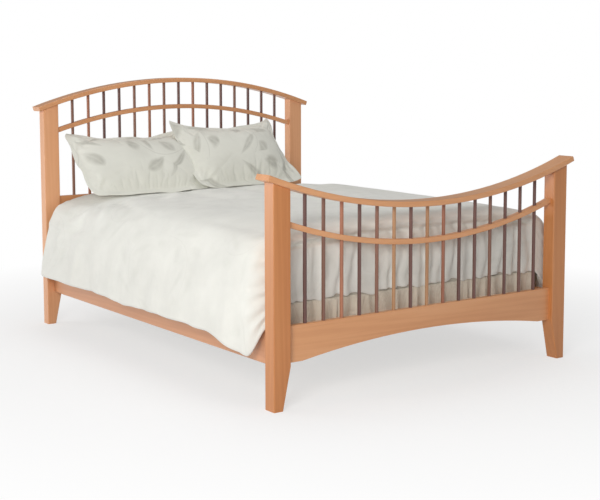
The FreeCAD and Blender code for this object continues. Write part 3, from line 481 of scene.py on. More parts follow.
def vertex_normals(vertices, faces):
    normals = np.zeros_like(vertices)
    for face in faces:
        a, b, c = (vertices[i] for i in face[:3])
        normal = np.cross(b - a, c - a)
        if len(face) == 4:
            normal = normal + np.cross(c - a, vertices[face[3]] - a)
        for i in face:
            normals[i] += normal
    return normals / np.maximum(np.linalg.norm(normals, axis=1, keepdims=True), 1e-12)


def ripple(places, waves):
    """Sum of sine waves given as (wavelength, amplitude, phase)."""
    return sum(size * np.sin(math.tau * places / length + phase) for length, size, phase in waves)


def cloud(points, scale, seed):
    """Smooth noise at many points, from about -1 to 1."""
    offset = Vector((seed * 3.1, seed * 1.7, seed * 2.3))
    return np.array([noise.noise(Vector(p) * scale + offset) for p in points])


def unit(values):
    """Keep values between 0 and 1."""
    return np.clip(values, 0, 1)


def smoothed(share):
    """Ease a share from 0 to 1 in and out."""
    return share * share * (3 - 2 * share)


# Cloth simulation

CLOTHS = []
CLOTH_FRAMES = 20
FARTHEST_MOVE = 0.010
# A shrink below 0 lets the cloth grow.
CLOTH_SETTINGS = {
    "quality": 5,
    "mass": 0.25,
    "tension_stiffness": 18,
    "compression_stiffness": 18,
    "shear_stiffness": 6,
    "air_damping": 2,
    "shrink_min": -0.035,
    "vertex_group_mass": "held",
}


def simulate_later(obj, held, pressure, bending):
    """Note a mesh whose cloth will crumple. held says how firmly each point is kept."""
    CLOTHS.append((obj, held, pressure, bending))


def run_cloth():
    """Let every noted cloth grow and crumple, and keep each point near its place."""
    scene = bpy.context.scene
    for obj, held, pressure, bending in CLOTHS:
        group = obj.vertex_groups.new(name="held")
        for index, weight in enumerate(held):
            group.add([index], float(weight), "REPLACE")
        modifier = obj.modifiers.new("cloth", "CLOTH")
        for name, value in CLOTH_SETTINGS.items():
            setattr(modifier.settings, name, value)
        modifier.settings.bending_stiffness = bending
        modifier.settings.effector_weights.gravity = 0
        modifier.collision_settings.use_collision = False
        if pressure:
            modifier.settings.use_pressure = True
            modifier.settings.uniform_pressure_force = pressure
        modifier.point_cache.frame_start = 1
        modifier.point_cache.frame_end = CLOTH_FRAMES
    for number in range(1, CLOTH_FRAMES + 1):
        scene.frame_set(number)
    graph = bpy.context.evaluated_depsgraph_get()
    for obj, *_ in CLOTHS:
        still = points_of(obj)
        way = points_of(obj.evaluated_get(graph)) - still
        length = np.maximum(np.linalg.norm(way, axis=1, keepdims=True), 1e-9)
        way = way / length * FARTHEST_MOVE * np.tanh(length / FARTHEST_MOVE)
        obj.modifiers.clear()
        obj.vertex_groups.clear()
        obj.data.vertices.foreach_set("co", (still + way).ravel())
        obj.data.update()
    scene.frame_set(1)


# Duvet: one padded sheet over the top, both sides and the foot. The top is a grid.
# Round it, stations stand on a line with rounded foot corners, open at the head, and
# the drape hangs down from them in levels.

mattress_low, mattress_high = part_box("mattress")
MATTRESS_X, MATTRESS_FOOT_Y, TOP_Z = mattress_high.x, mattress_low.y, mattress_high.z
MATTRESS_EASE = 0.030
HEAD_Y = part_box("duvet")[1].y
CAP_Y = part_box("foot_cap")[1].y
# The line that the drape hangs from runs inside the mattress's edge.
CORNER_X = round(MATTRESS_X - 0.062, 4)
CORNER_Y = round(MATTRESS_FOOT_Y + 0.089, 4)
STEP = 0.0155
SIDE_COUNT = round((HEAD_Y - CORNER_Y) / STEP)
FOOT_COUNT = round(2 * CORNER_X / STEP)
CORNER_COUNT = 12

# Height of the top at its edges and crown, and how the pillows and the edges lower it
EDGE_Z, EDGE_PRESSED = 0.7105, 0.0125
CROWN, CROWN_PRESSED, CROWN_X = 0.025, 0.021, 0.62
PRESSED_Y, PRESSED_RUN = 0.446, 0.11
SHOULDER_X, SHOULDER_FALL = 0.56, 0.42
PRESSED_SHOULDER_X, PRESSED_SHOULDER_RUN, PRESSED_SHOULDER = 0.40, 0.31, 0.022
FOOT_FALL_Y, FOOT_FALL = -0.86, 0.9

# Lower than this below the mattress's top, the duvet hangs beside it.
BESIDE_FALL = 0.04
# Nearer the middle than this, the foot drape hangs between mattress and foot cap.
DRAPE_X = 0.74

# Control points of the hanging part: distance out from the corner line, and height.
# The first four heights are below the top, the others are above the floor.
BELOW_TOP = 4
SIDE = [
    (0, 0), (0.052, 0.009), (0.088, 0.042), (0.117, 0.105),
    (0.145, 0.512), (0.165, 0.43), (0.180, 0.352), (0.1875, 0.279),
]
NEAR_CORNER = [
    (0, 0), (0.06, 0.008), (0.102, 0.034), (0.143, 0.084),
    (0.158, 0.515), (0.167, 0.44), (0.165, 0.335), (0.161, 0.207),
]
CORNER = [
    (0, 0), (0.05, 0.006), (0.088, 0.028), (0.117, 0.075),
    (0.129, 0.53), (0.135, 0.46), (0.136, 0.40), (0.134, 0.34),
]
FOOT = [
    (0, 0), (0.052, 0.004), (0.092, 0.014), (0.1145, 0.038),
    (0.1095, 0.615), (0.1085, 0.55), (0.1080, 0.48), (0.1070, 0.415),
]
# Angles at which a foot corner takes on the three last profiles
NEAR_CORNER_ANGLE, CORNER_ANGLE, FOOT_ANGLE = 13.0, 49.0, 90.0

# Where the profiles are read, as numbers of control points: closest round the groove
# where the foot's folds begin
GROOVE = 3.36
PARAMS = np.concatenate([np.linspace(0, 2.8, 12), np.linspace(2.95, 3.8, 9), np.linspace(4, 7, 17)])
LEVELS = len(PARAMS)
LOWER = np.linspace(0, 1, LEVELS)

# Ripples along the drape, as (wavelength, amplitude, phase)
SIDE_RIPPLES = [(0.42, 0.0095, 0.9), (0.23, 0.0058, 2.6), (0.127, 0.0024, 0.4)]
SIDE_HEM_RIPPLES = [(0.61, 0.003, 0.8), (0.21, 0.0012, 2.2)]
FOOT_HEM_RIPPLES = [(0.29, 0.005, 0.3), (0.13, 0.004, 1.9)]


def pressed_share(y):
    """Say how far the pillows press the duvet flat at a place along the bed."""
    return smoothed(unit((y - PRESSED_Y) / PRESSED_RUN))


def duvet_top(x, y):
    """Height of the duvet's upper side."""
    pressed = pressed_share(y)
    crown = CROWN - CROWN_PRESSED * pressed
    z = EDGE_Z - EDGE_PRESSED * pressed + crown * (1 - (np.abs(x) / CROWN_X) ** 2)
    z = z - SHOULDER_FALL * np.clip(np.abs(x) - SHOULDER_X, 0, None) ** 2
    shoulder = unit((np.abs(x) - PRESSED_SHOULDER_X) / PRESSED_SHOULDER_RUN)
    z = z - PRESSED_SHOULDER * pressed * shoulder**2
    return float(z - FOOT_FALL * np.clip(FOOT_FALL_Y - y, 0, None) ** 2)


def hanging(profile, top):
    """Turn a profile's control points into distances and heights."""
    out = [(d, top - z if number < BELOW_TOP else z) for number, (d, z) in enumerate(profile)]
    return np.array(out)


def spline(points, params):
    """Catmull-Rom curve through points, read at parameters from 0 to the last index."""
    ends = np.vstack([2 * points[0] - points[1], points, 2 * points[-1] - points[-2]])
    index = np.clip(params.astype(int), 0, len(points) - 2)
    t = (params - index)[:, None]
    a, b, c, d = (ends[index + k] for k in range(4))
    square = (2 * a - 5 * b + 4 * c - d) * t**2
    return 0.5 * (2 * b + (c - a) * t + square + (3 * b - a - 3 * c + d) * t**3)


def side_profile(y):
    """Profile of a side at a place along it; it nears the corner's form at the foot."""
    turn_y, turn_run, turn_share = -0.66, 0.24, 0.85
    pressed_falls = ((1, 0.008), (2, 0.004))
    top = duvet_top(CORNER_X, y)
    share = turn_share * smoothed(min(1.0, max(0.0, (turn_y - y) / turn_run)))
    plain = hanging(SIDE, top)
    for number, fall in pressed_falls:
        plain[number, 1] -= fall * pressed_share(y)
    return plain + (hanging(NEAR_CORNER, top) - plain) * share


def corner_profile(angle):
    """Profile of a foot corner at an angle from the side, in degrees."""
    top = duvet_top(CORNER_X, CORNER_Y)
    keys = [
        (0.0, side_profile(CORNER_Y)),
        (NEAR_CORNER_ANGLE, hanging(NEAR_CORNER, top)),
        (CORNER_ANGLE, hanging(CORNER, top)),
        (FOOT_ANGLE, hanging(FOOT, top)),
    ]
    for (low, first), (high, second) in zip(keys, keys[1:]):
        if angle <= high:
            return first + (second - first) * smoothed((angle - low) / (high - low))
    return keys[-1][1]


def pleats(run):
    """Give the foot drape's folds, which lean to one side, and how near a crest each is."""
    width, skew, roundness = 0.068, 0.42, 0.9
    depth, set_back = 0.0220, 0.0138
    groove_depth, groove_width, groove_crest = 0.030, 0.20, 0.4
    grown_from, grown_run = 3.3, 0.9
    sway = 0.8 * math.sin(run / 0.071) * LOWER + 0.5 * math.sin(run / 0.037 + 9 * LOWER.mean())
    turn = math.pi * run / width + sway + 1.2 * math.sin(run / 0.113)
    turn = turn + 0.35 * np.sin(LOWER * 9 + run * 21)
    crest = np.abs(np.sin(turn + skew * (np.cos(2 * turn) - 1))) ** roundness
    size = depth + 0.0030 * math.sin(run / 0.131 + 0.6) + 0.002 * math.sin(run / 0.047)
    grown = unit((PARAMS - grown_from) / grown_run)
    grown = grown * (2 - grown)
    groove = groove_depth * np.exp(-(((PARAMS - GROOVE) / groove_width) ** 2))
    return crest * size * grown - set_back * grown - groove * (1 - groove_crest * crest), crest


def station_folds(kind, place, run):
    """Give how far a station's levels move out, and how far its hem moves up."""
    fade_run, crest_rise = 0.06, 0.011
    corner_fade, corner_share = 40, 0.6
    pucker, pucker_from, pucker_run = 0.0062, 2.5, 1.5
    if kind == "foot":
        fold, crest = pleats(run)
        ease_in = min(1.0, (CORNER_X - abs(place)) / fade_run)
        hem = ripple(run, FOOT_HEM_RIPPLES) + crest_rise * (0.5 - crest)
        return fold * ease_in, hem * ease_in
    fold = ripple(run, SIDE_RIPPLES)
    if kind == "side":
        return fold * LOWER**1.3 * (1 - 0.5 * LOWER**4), ripple(run, SIDE_HEM_RIPPLES)
    grown = unit((PARAMS - pucker_from) / pucker_run)
    bell = math.sin(math.radians(place * 2)) * grown
    puckers = np.sin(PARAMS * 7.9 + place * 0.05) + 0.5 * np.sin(PARAMS * 12.3 + 1.0 - place * 0.04)
    return fold * max(0.0, 1 - place / corner_fade) * corner_share + pucker * bell * puckers, 0.0


def duvet_stations():
    """List the stations round the drape, from the left head corner to the right one.

    Each has its kind, its side (-1, 0 or 1) and its place: y along a side, an angle in
    degrees round a corner, or x along the foot.
    """
    side_step = (CORNER_Y - HEAD_Y) / SIDE_COUNT
    left = [("side", -1, HEAD_Y + side_step * number) for number in range(SIDE_COUNT + 1)]
    left += [("corner", -1, 90.0 * number / CORNER_COUNT) for number in range(1, CORNER_COUNT)]
    foot_step = 2 * CORNER_X / FOOT_COUNT
    foot = [("foot", 0, -CORNER_X + foot_step * number) for number in range(FOOT_COUNT + 1)]
    return left + foot + [(kind, 1, place) for kind, _, place in reversed(left)]


def station_line(kind, side, place):
    """Give the point that a station hangs from, its way out and its profile."""
    if kind == "side":
        return (CORNER_X * side, place), (float(side), 0.0), side_profile(place)
    if kind == "corner":
        turn = math.radians(place)
        out = (side * math.cos(turn), -math.sin(turn))
        return (CORNER_X * side, CORNER_Y), out, corner_profile(place)
    return (place, CORNER_Y), (0.0, -1.0), hanging(FOOT, duvet_top(place, CORNER_Y))


def grid_vertex(x, y):
    """Give the number of the vertex at a point of the top's grid."""
    column = round((x + CORNER_X) / (2 * CORNER_X) * FOOT_COUNT)
    row = round((y - CORNER_Y) / (HEAD_Y - CORNER_Y) * SIDE_COUNT)
    return row * (FOOT_COUNT + 1) + column


def build_duvet():
    """Return the sheet's vertices and faces, places on the flat cloth and hanging shares."""
    run_distance = 0.12
    vertices = []
    cloth = []
    for y in np.linspace(CORNER_Y, HEAD_Y, SIDE_COUNT + 1):
        for x in np.linspace(-CORNER_X, CORNER_X, FOOT_COUNT + 1):
            vertices.append((x, y, duvet_top(x, y)))
            cloth.append((x, y))
    shares = [0.0] * len(vertices)
    run = 0.0
    last = None
    band = []
    for kind, side, place in duvet_stations():
        (x, y), (out_x, out_y), profile = station_line(kind, side, place)
        here = (x + out_x * run_distance, y + out_y * run_distance)
        run += math.dist(here, last or here)
        last = here
        curve = spline(profile, PARAMS)
        fold, hem = station_folds(kind, place, run)
        distance = curve[:, 0] + fold
        height = curve[:, 1] + hem * LOWER**3
        gaps = np.hypot(np.diff(curve[:, 0]), np.diff(curve[:, 1]))
        length = np.concatenate([[0], np.cumsum(gaps)])
        row = [grid_vertex(x, y)]
        for level in range(1, LEVELS):
            row.append(len(vertices))
            out = distance[level]
            vertices.append((x + out_x * out, y + out_y * out, height[level]))
            cloth.append((x + out_x * length[level], y + out_y * length[level]))
            shares.append(level / (LEVELS - 1))
        band.append(row)
    faces = grid_quads(FOOT_COUNT, SIDE_COUNT)
    for first, second in zip(band, band[1:]):
        for level in range(LEVELS - 1):
            # The stations of a corner share one vertex of the top.
            face = (first[level], first[level + 1], second[level + 1], second[level])
            faces.append(tuple(dict.fromkeys(face)))
    return np.array(vertices), faces, np.array(cloth), np.array(shares)


def lift_over_mattress(points, gap):
    """Lift what lies on the mattress, not what hangs beside it, to a gap above it."""
    side_gap, foot_gap = 0.0015, 0.0005
    over = np.abs(points[:, 0]) < MATTRESS_X + side_gap
    over &= points[:, 1] > MATTRESS_FOOT_Y - foot_gap
    over &= points[:, 2] > TOP_Z - BESIDE_FALL
    # The mattress falls off round its long edges.
    past = unit((np.abs(points[over, 0]) - (MATTRESS_X - MATTRESS_EASE)) / MATTRESS_EASE)
    cover = TOP_Z - MATTRESS_EASE * (1 - np.sqrt(1 - past**2))
    points[over, 2] = np.maximum(points[over, 2], cover + gap)


def padded_sheet(name, vertices, faces, cloth, thickness, material):
    """Give an open sheet an inner face, and round its border over to it."""
    least_thickness, border_share = 0.003, 0.45
    normals = vertex_normals(vertices, faces)
    count = len(vertices)
    inner = vertices - normals * thickness[:, None]
    lift_over_mattress(inner, gap=0.0015)
    flat = normals[:, 2] > 0.5
    inner[flat, 2] = np.minimum(inner[flat, 2], vertices[flat, 2] - least_thickness)
    all_faces = list(faces) + [turned_over(face, count) for face in faces]
    points = list(vertices) + list(inner)
    places = list(cloth) + list(cloth)
    loop = boundary_loop(faces)
    middles = {}
    for before, index, after in zip(loop[-1:] + loop[:-1], loop, loop[1:] + loop[:1]):
        outward = np.cross(vertices[after] - vertices[before], normals[index])
        outward = outward / max(np.linalg.norm(outward), 1e-12)
        half = (vertices[index] + inner[index]) / 2
        middles[index] = len(points)
        points.append(half + outward * thickness[index] * border_share)
        places.append(cloth[index])
    for first, second in zip(loop, loop[1:] + loop[:1]):
        all_faces.append((second, first, middles[first], middles[second]))
        all_faces.append((middles[second], middles[first], first + count, second + count))
    return smooth_object(name, points, all_faces, material, places)


LUMP, LUMP_SCALE, LUMP_SEED = 0.0012, 9.0, 3.0
UNDER_PILLOWS_Y, UNDER_PILLOWS_RUN = 0.40, 0.25
UNDER_PILLOWS_X, UNDER_PILLOWS_FADE = 0.80, 0.2
LEAST_HELD = 0.012

vertices, faces, cloth, hanging_share = build_duvet()
vertices[:, 2] += LUMP * cloud(vertices, LUMP_SCALE, LUMP_SEED) * (1 - hanging_share)
duvet_shell = smooth_object("duvet_shell", vertices, faces, DUVET_CLOTH, cloth)
# The pillows' weight holds the duvet still under them.
held = unit((vertices[:, 1] - UNDER_PILLOWS_Y) / UNDER_PILLOWS_RUN)
held *= unit((UNDER_PILLOWS_X - np.abs(vertices[:, 0])) / UNDER_PILLOWS_FADE)
simulate_later(duvet_shell, np.maximum(held, LEAST_HELD), pressure=0.0, bending=0.9)


def finish_duvet():
    """Give the crumpled shell its inner face, and keep its foot clear of the foot cap."""
    cap_gap, foot_gap = 0.0022, 0.0065
    padding_gap, padding_range = 0.0025, (0.02, 0.08)
    side_thickness, drape_thickness, hem_thickness = 0.030, 0.0045, 0.014
    drape_y, drape_run = -0.93, 0.06
    points = points_of(duvet_shell)
    bpy.data.objects.remove(duvet_shell)
    points[:, 1] = np.maximum(points[:, 1], CAP_Y + cap_gap)
    lift_over_mattress(points, gap=0.008)
    near_middle = np.abs(points[:, 0]) < DRAPE_X
    beside = (points[:, 2] <= TOP_Z - BESIDE_FALL) & near_middle
    points[beside, 1] = np.minimum(points[beside, 1], MATTRESS_FOOT_Y - foot_gap)
    resting = (1 - hanging_share) ** 2
    top_thickness = np.clip(points[:, 2] - TOP_Z - padding_gap, *padding_range)
    thickness = top_thickness * resting + side_thickness * (1 - resting)
    drape = unit((drape_y - points[:, 1]) / drape_run) * near_middle
    thickness = thickness * (1 - drape) + drape_thickness * drape
    hem = boundary_loop(faces)
    thickness[hem] = np.minimum(thickness[hem], hem_thickness)
    sheet = padded_sheet("duvet_sheet", points, faces, cloth, thickness, DUVET_CLOTH)
    subdivide(sheet)
    return sheet


# Pillows: flanged shams, each a front and a back that meet in a flat flange

PILLOW_HEIGHT, PILLOW_HALF_THICKNESS = 0.452, 0.080
FLANGE, FLANGE_HALF_THICKNESS = 0.026, 0.0016
PILLOW_COLUMNS, PILLOW_ROWS = 92, 60


def pillow_outline(u, v, width, reach, draws, seed):
    """Place a sham's grid in its own plane, with blunt corners and edges that dip."""
    blunt_power, ear_lift, edge_wave = 8, 0.028, 0.004
    left, right, bottom, top = draws
    across, up = np.abs(u), np.abs(v)
    blunt = (across**blunt_power + up**blunt_power) ** (1 / blunt_power)
    blunt = np.maximum(across, up) / np.maximum(blunt, 1e-9)
    lift = unit(v) ** 2 * across**3 * ear_lift
    x = u * width / 2 * blunt - u * across**0.6 * np.where(u > 0, right, left) * (1 - up**2.4)
    y = v * PILLOW_HEIGHT / 2 * blunt - v * up**0.6 * np.where(v > 0, top, bottom) * (1 - across**2.8)
    x = x + reach * ((1 - v) / 2) ** 2 * unit(u) ** 3 + u * lift * 0.5
    x = x + edge_wave * np.sin(v * 8.3 + seed * 2) * across**6
    y = y + lift + edge_wave * np.sin(u * 9.1 + seed) * up**6
    return x, y


def pillow_relief(x, y, width, seed):
    """Give a sham's half thickness, its creases and its share of flange."""
    crease, crease_far, crease_run = 0.004, 0.095, 0.055
    ear, ear_far, ear_run = 0.014, 0.050, 0.030
    lump, lump_scale = 0.006, 7.0
    inner_x, inner_y = width / 2 - FLANGE, PILLOW_HEIGHT / 2 - FLANGE
    seam_x = unit(np.abs(x) / inner_x)
    seam_y = unit(np.abs(y) / inner_y)
    crown = PILLOW_HALF_THICKNESS * (1 - seam_y**2.2) ** 0.74 * (1 - seam_x**3.0) ** 0.66
    flange = np.maximum(
        unit((np.abs(x) - inner_x) / FLANGE), unit((np.abs(y) - inner_y) / FLANGE)
    )
    creases = np.zeros_like(x)
    for side, end in ((-1, -1), (1, -1), (1, 1), (-1, 1)):
        beside = x - side * width / 2
        above = y - end * PILLOW_HEIGHT / 2
        far = np.hypot(beside, above)
        angle = np.arctan2(-end * above, -side * beside)
        fan = np.sin(angle * 11 + seed * side + end) + 0.6 * np.sin(angle * 19 + seed * 2)
        creases += crease * fan * np.exp(-(((far - crease_far) / crease_run) ** 2))
        # The upper ears are filled out to the flange.
        if end > 0:
            crown += ear * np.exp(-(((far - ear_far) / ear_run) ** 2)) * (1 - flange)
    lumps = cloud(np.stack([x.ravel(), y.ravel(), np.full(x.size, seed)], axis=1), lump_scale, seed)
    creases += lump * lumps.reshape(x.shape)
    return crown, creases * unit(crown / 0.03), flange


def build_pillow(node, lean, yaw, seed, width, shift, reach, draws):
    """Make a sham on a pillow's place. reach draws its lower right corner out.

    draws says how far the left, right, bottom and top edges dip between the corners.
    """
    low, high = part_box(node)
    centre = (low + high) / 2 + Vector((shift, 0, 0))
    turn = Euler((math.radians(lean), 0, math.radians(yaw))).to_matrix()
    u, v = np.meshgrid(
        np.linspace(-1, 1, PILLOW_COLUMNS + 1), np.linspace(-1, 1, PILLOW_ROWS + 1)
    )
    x, y = u * width / 2, v * PILLOW_HEIGHT / 2
    placed_x, placed_y = pillow_outline(u, v, width, reach, draws, seed)
    crown, creases, flange = pillow_relief(x, y, width, seed)
    border = np.arctan2(v, u)
    wave = 0.0035 * np.sin(border * 7 + seed * 1.3) + 0.002 * np.sin(border * 17 + seed)
    wave = flange**1.2 * wave
    sides = []
    for sign in (1, -1):
        z = sign * (crown + FLANGE_HALF_THICKNESS) + wave + creases
        sides.append(np.stack([placed_x.ravel(), placed_y.ravel(), z.ravel()], axis=1))
    count = x.size
    front = grid_quads(PILLOW_COLUMNS, PILLOW_ROWS)
    faces = [face for quad in front for face in (quad, turned_over(quad, count))]
    faces += rim_quads(boundary_loop(front), count)
    places = np.vstack(sides) @ np.array(turn).T + np.array(centre)
    # The back's print lies elsewhere on the cloth than the front's.
    flat = np.stack([x.ravel() + seed, y.ravel() + seed * 0.7], axis=1)
    cloth = np.vstack([flat, flat + 3.3])
    obj = smooth_object(f"{node}_sham", places, faces, PILLOW_CLOTH, cloth)
    held = np.maximum(unit(flange.ravel() * 40), 0.01)
    simulate_later(obj, np.concatenate([held, held]), pressure=3.0, bending=0.4)
    return obj


pillow_left = build_pillow(
    "pillow_left", lean=42.84, yaw=0.0, seed=1.7, width=0.714, shift=-0.008, reach=0.0,
    draws=(-0.006, 0.02, 0.002, 0.044),
)
pillow_right = build_pillow(
    "pillow_right", lean=50.05, yaw=5.74, seed=4.1, width=0.728, shift=0.002, reach=0.035,
    draws=(0.012, 0.050, 0.002, 0.052),
)

run_cloth()
subdivide(pillow_left)
subdivide(pillow_right)
duvet = finish_duvet()


# Mattress and box spring: blocks with round corners and a taped or welted edge

MATTRESS_CORNER = 0.06
BASE_CORNER, BASE_EASE = 0.05, 0.016
LEAST_RADIUS = 0.004
PER_CORNER, PER_SIDE = 8, (36, 48)
CORNER_SIGNS = ((1, 1), (-1, 1), (-1, -1), (1, -1))


def block_profile(low, high, ease):
    """List a block's rings as (inset, height), from its bottom middle to its top middle."""
    steps, inward, middle = 6, 0.05, 0.02
    innermost = min((high - low).x / 2, (high - low).y / 2) - middle
    insets = list(np.arange(innermost, ease + middle, -inward))
    turns = [math.pi / 2 * number / steps for number in range(steps + 1)]
    profile = [(inset, low.z) for inset in insets]
    profile += [(ease * (1 - math.sin(t)), low.z + ease * (1 - math.cos(t))) for t in turns]
    height = high.z - low.z - 2 * ease
    profile += [(0.0, low.z + ease + height * share) for share in (0.25, 0.5, 0.75)]
    profile += [(ease * (1 - math.cos(t)), high.z - ease * (1 - math.sin(t))) for t in turns]
    return profile + [(inset, high.z) for inset in reversed(insets)]


def ring_points(low, high, inset, corner, z):
    """List the points of a round-cornered ring, corner by corner with the sides between."""
    half, centre = (high - low) / 2, (high + low) / 2
    half_x, half_y = half.x - inset, half.y - inset
    radius = max(min(corner - inset, half_x, half_y), LEAST_RADIUS)

    def on_corner(quarter, turn):
        sign_x, sign_y = CORNER_SIGNS[quarter % 4]
        x = centre.x + sign_x * (half_x - radius) + radius * math.cos(turn)
        return x, centre.y + sign_y * (half_y - radius) + radius * math.sin(turn), z

    points = []
    for quarter in range(4):
        for number in range(PER_CORNER):
            points.append(on_corner(quarter, math.pi / 2 * (quarter + number / PER_CORNER)))
        turn = math.pi / 2 * (quarter + 1)
        start, end = on_corner(quarter, turn), on_corner(quarter + 1, turn)
        count = PER_SIDE[quarter % 2]
        for number in range(count):
            share = number / count
            x, y = (a + (b - a) * share for a, b in zip(start[:2], end[:2]))
            points.append((x, y, z))
    return points


def padded_block(name, node, corner, ease, material):
    low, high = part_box(node)
    rings = [ring_points(low, high, inset, corner, z) for inset, z in block_profile(low, high, ease)]
    size = len(rings[0])
    vertices = [point for ring in rings for point in ring]
    faces = []
    for level in range(len(rings) - 1):
        for number in range(size):
            a = level * size + number
            b = level * size + (number + 1) % size
            faces.append((a, b, b + size, a + size))
    faces.append(tuple(reversed(range(size))))
    faces.append(tuple(range((len(rings) - 1) * size, len(rings) * size)))
    return smooth_object(name, vertices, faces, material)


def piping(name, node, corner, z, inset, radius):
    """A round welt that runs round a block."""
    sides = 8
    ring = ring_points(*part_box(node), inset, corner, z)
    size = len(ring)
    vertices = []
    for number, point in enumerate(ring):
        along = (Vector(ring[(number + 1) % size]) - Vector(ring[number - 1])).normalized()
        out = along.cross(Vector((0, 0, 1)))
        for part in range(sides):
            turn = math.tau * part / sides
            raised = Vector((0, 0, radius * math.sin(turn)))
            vertices.append(Vector(point) + out * radius * math.cos(turn) + raised)
    faces = []
    for number in range(size):
        for part in range(sides):
            here, ahead = number * sides, (number + 1) % size * sides
            beside = (part + 1) % sides
            faces.append((here + part, ahead + part, ahead + beside, here + beside))
    return smooth_object(name, vertices, faces, TAPE)


def piping_pair(name, node, corner, rise, inset, radius):
    """A welt near a block's lower edge and one near its upper edge."""
    low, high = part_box(node)
    return [
        piping(f"{name}_low", node, corner, low.z + rise, inset, radius),
        piping(f"{name}_high", node, corner, high.z - rise, inset, radius),
    ]


mattress = padded_block("mattress_pad", "mattress", MATTRESS_CORNER, MATTRESS_EASE, TICKING)
box_spring = padded_block("box_spring_pad", "box_spring", BASE_CORNER, BASE_EASE, BASE_CLOTH)
mattress_piping = piping_pair(
    "mattress_tape", "mattress", MATTRESS_CORNER, rise=0.0115, inset=0.010, radius=0.006
)
box_piping = piping_pair(
    "box_spring_welt", "box_spring", BASE_CORNER, rise=0.0065, inset=0.0055, radius=0.004
)


# Skirt: one gathered strip that hangs on the foot of the box spring


def build_skirt():
    """Return the strip, the length of cloth in its gathers and its drop."""
    columns, rows = 560, 12
    end_gap, edge_gap, back_gap, thickness = 0.004, 0.001, 0.0017, 0.0012
    gather_top, gather_more = 0.0012, 0.0042
    gathers = [(0.067, 1.0, 0.3), (0.041, 0.35, 1.4), (0.103, 0.3, 2.0)]
    low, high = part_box("box_spring_skirt")
    half = (high.x - low.x) / 2 - end_gap
    front = high.y - back_gap
    drop = high.z - low.z - 2 * edge_gap
    xs = np.linspace(-half, half, columns + 1)
    lengths = []
    vertices = []
    for down in np.linspace(0, 1, rows + 1):
        z = high.z - edge_gap - drop * down
        gather = gather_top + gather_more * down**0.6
        bent = xs + 0.016 * np.sin(xs / 0.061 + 0.8 * down) + 0.006 * np.sin(xs / 0.023)
        y = front - gather * (1.5 + ripple(bent, gathers))
        x = xs + 0.3 * gather * ripple(bent, [(0.067, 1.0, 1.9)])
        vertices.append(np.stack([x, y, np.full(len(xs), z)], axis=1))
        lengths.append(np.hypot(np.diff(x), np.diff(y)).sum())
    sheet = np.vstack(vertices)
    quads = grid_quads(columns, rows, flip=True)
    back = sheet - vertex_normals(sheet, quads) * thickness
    faces = quads + [turned_over(quad, len(sheet)) for quad in quads]
    faces += rim_quads(boundary_loop(quads), len(sheet))
    obj = smooth_object("skirt_cloth_strip", np.vstack([sheet, back]), faces, SKIRT_CLOTH)
    return obj, max(lengths), drop


skirt, skirt_width, skirt_drop = build_skirt()


# What each piece stands for and rides on

PIECES = [
    (duvet, "duvet", "duvet", "bed_linen"),
    (pillow_left, "pillow_left", "pillow_left", "pillow_linen"),
    (pillow_right, "pillow_right", "pillow_right", "pillow_linen"),
    (mattress, "mattress", "mattress", "ticking"),
    (box_spring, "box_spring", "bed_frame", "box_spring_cloth"),
    (skirt, "box_spring_skirt", "bed_frame", "skirt_cloth"),
]
for piece, node, body, slot in PIECES:
    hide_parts(node)
    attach(piece, body)
for piece in mattress_piping:
    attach(piece, "mattress")
for piece in box_piping:
    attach(piece, "bed_frame")


# Floor, white backdrop, lights and camera


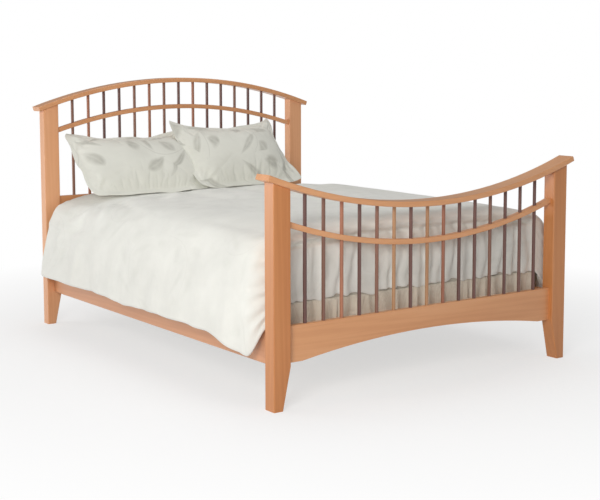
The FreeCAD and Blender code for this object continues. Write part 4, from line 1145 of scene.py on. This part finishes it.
def shadow_floor():
    """A pale floor that shows white, with the bed's soft shadow on it."""
    size, clear_radius, fade_run, near_glow = 14.0, 1.2, 1.8, 0.6
    shade = Shade("studio_floor")
    tone = shade.noise(shade.place, scale=0.6, detail=1.0)
    colour = shade.ramp(tone, [(0.3, linear((232, 232, 232))), (0.7, linear((236, 236, 236)))])
    shade.surface({"Base Color": colour, "Roughness": 0.9, "Specular IOR Level": 0.1})
    # Farther from the bed the floor glows more, until it is white.
    away = shade.add("VectorMath", {0: shade.place}, operation="LENGTH").outputs["Value"]
    far = shade.math("SUBTRACT", away, clear_radius)
    far = shade.math("DIVIDE", far, fade_run, clamp=True)
    share = shade.scaled(far, 1 - near_glow, near_glow)
    catcher = shade.add("BsdfDiffuse", {"Color": (1, 1, 1, 1)})
    glow = shade.add("Emission", {"Color": (1, 1, 1, 1), "Strength": 1.0})
    shown = shade.add("MixShader", {0: share, 1: catcher.outputs[0], 2: glow.outputs[0]})
    path = shade.add("LightPath")
    seen = shade.math("MAXIMUM", path.outputs["Is Camera Ray"], path.outputs["Is Glossy Ray"])
    seen = shade.math("MAXIMUM", seen, path.outputs["Is Transmission Ray"])
    surfaces = {0: seen, 1: shade.shader.outputs[0], 2: shown.outputs[0]}
    choice = shade.add("MixShader", surfaces)
    shade.give(shade.output.inputs["Surface"], choice.outputs[0])
    square = [(-size, -size, 0), (size, -size, 0), (size, size, 0), (-size, size, 0)]
    obj = smooth_object("studio_floor", square, [(0, 1, 2, 3)], shade.material)


def studio_world():
    """Soft light from all sides, behind which a camera or clear material sees white."""
    world = bpy.data.worlds.new("studio")
    bpy.context.scene.world = world
    world.use_nodes = True
    sky = Nodes(world.node_tree)
    soft = sky.add("Background", {"Color": (1.0, 0.995, 0.985, 1.0), "Strength": 0.26})
    white = sky.add("Background", {"Color": (1.0, 1.0, 1.0, 1.0), "Strength": 1.0})
    path = sky.add("LightPath")
    seen = sky.math("MAXIMUM", path.outputs["Is Camera Ray"], path.outputs["Is Transmission Ray"])
    choice = sky.add("MixShader", {0: seen, 1: soft.outputs[0], 2: white.outputs[0]})
    sky.add("OutputWorld", {0: choice.outputs[0]})


def area_light(name, place, target, size, power, colour=(1, 1, 1)):
    data = bpy.data.lights.new(name, "AREA")
    data.shape = "RECTANGLE"
    data.size, data.size_y = size
    data.energy = power
    data.color = colour
    lamp = linked(name, data)
    lamp.location = place
    lamp.rotation_euler = (Vector(target) - Vector(place)).to_track_quat("-Z", "Y").to_euler()


def photo_camera():
    """A camera at the photograph's place and angle, as fitted to the posts and rails."""
    pitch, yaw = -0.1076, -0.6294
    data = bpy.data.cameras.new("photo_view")
    data.sensor_width = 36
    data.lens = 76.625
    data.shift_x = -0.0325
    data.shift_y = -0.0838
    camera = linked("photo_view", data)
    camera.location = (-3.5976, -5.2142, 1.3898)
    camera.rotation_euler = (math.pi / 2 + pitch, 0, yaw)
    bpy.context.scene.camera = camera


shadow_floor()
studio_world()
area_light("key", (-4.4, -4.1, 2.6), (0, 0, 0.6), (2.0, 1.8), 168, (1.0, 0.99, 0.98))
area_light("left_card", (-6.5, 5.4, 1.5), (0, 0, 0.5), (4.0, 2.6), 195)
area_light("front_fill", (-1.6, -6.4, 1.7), (0, 0, 0.4), (2.0, 1.8), 16)
area_light("top", (0.4, 0.6, 4.6), (0, 0, 0), (3.5, 3.5), 48)
photo_camera()
bpy.context.scene.view_settings.view_transform = "Standard"
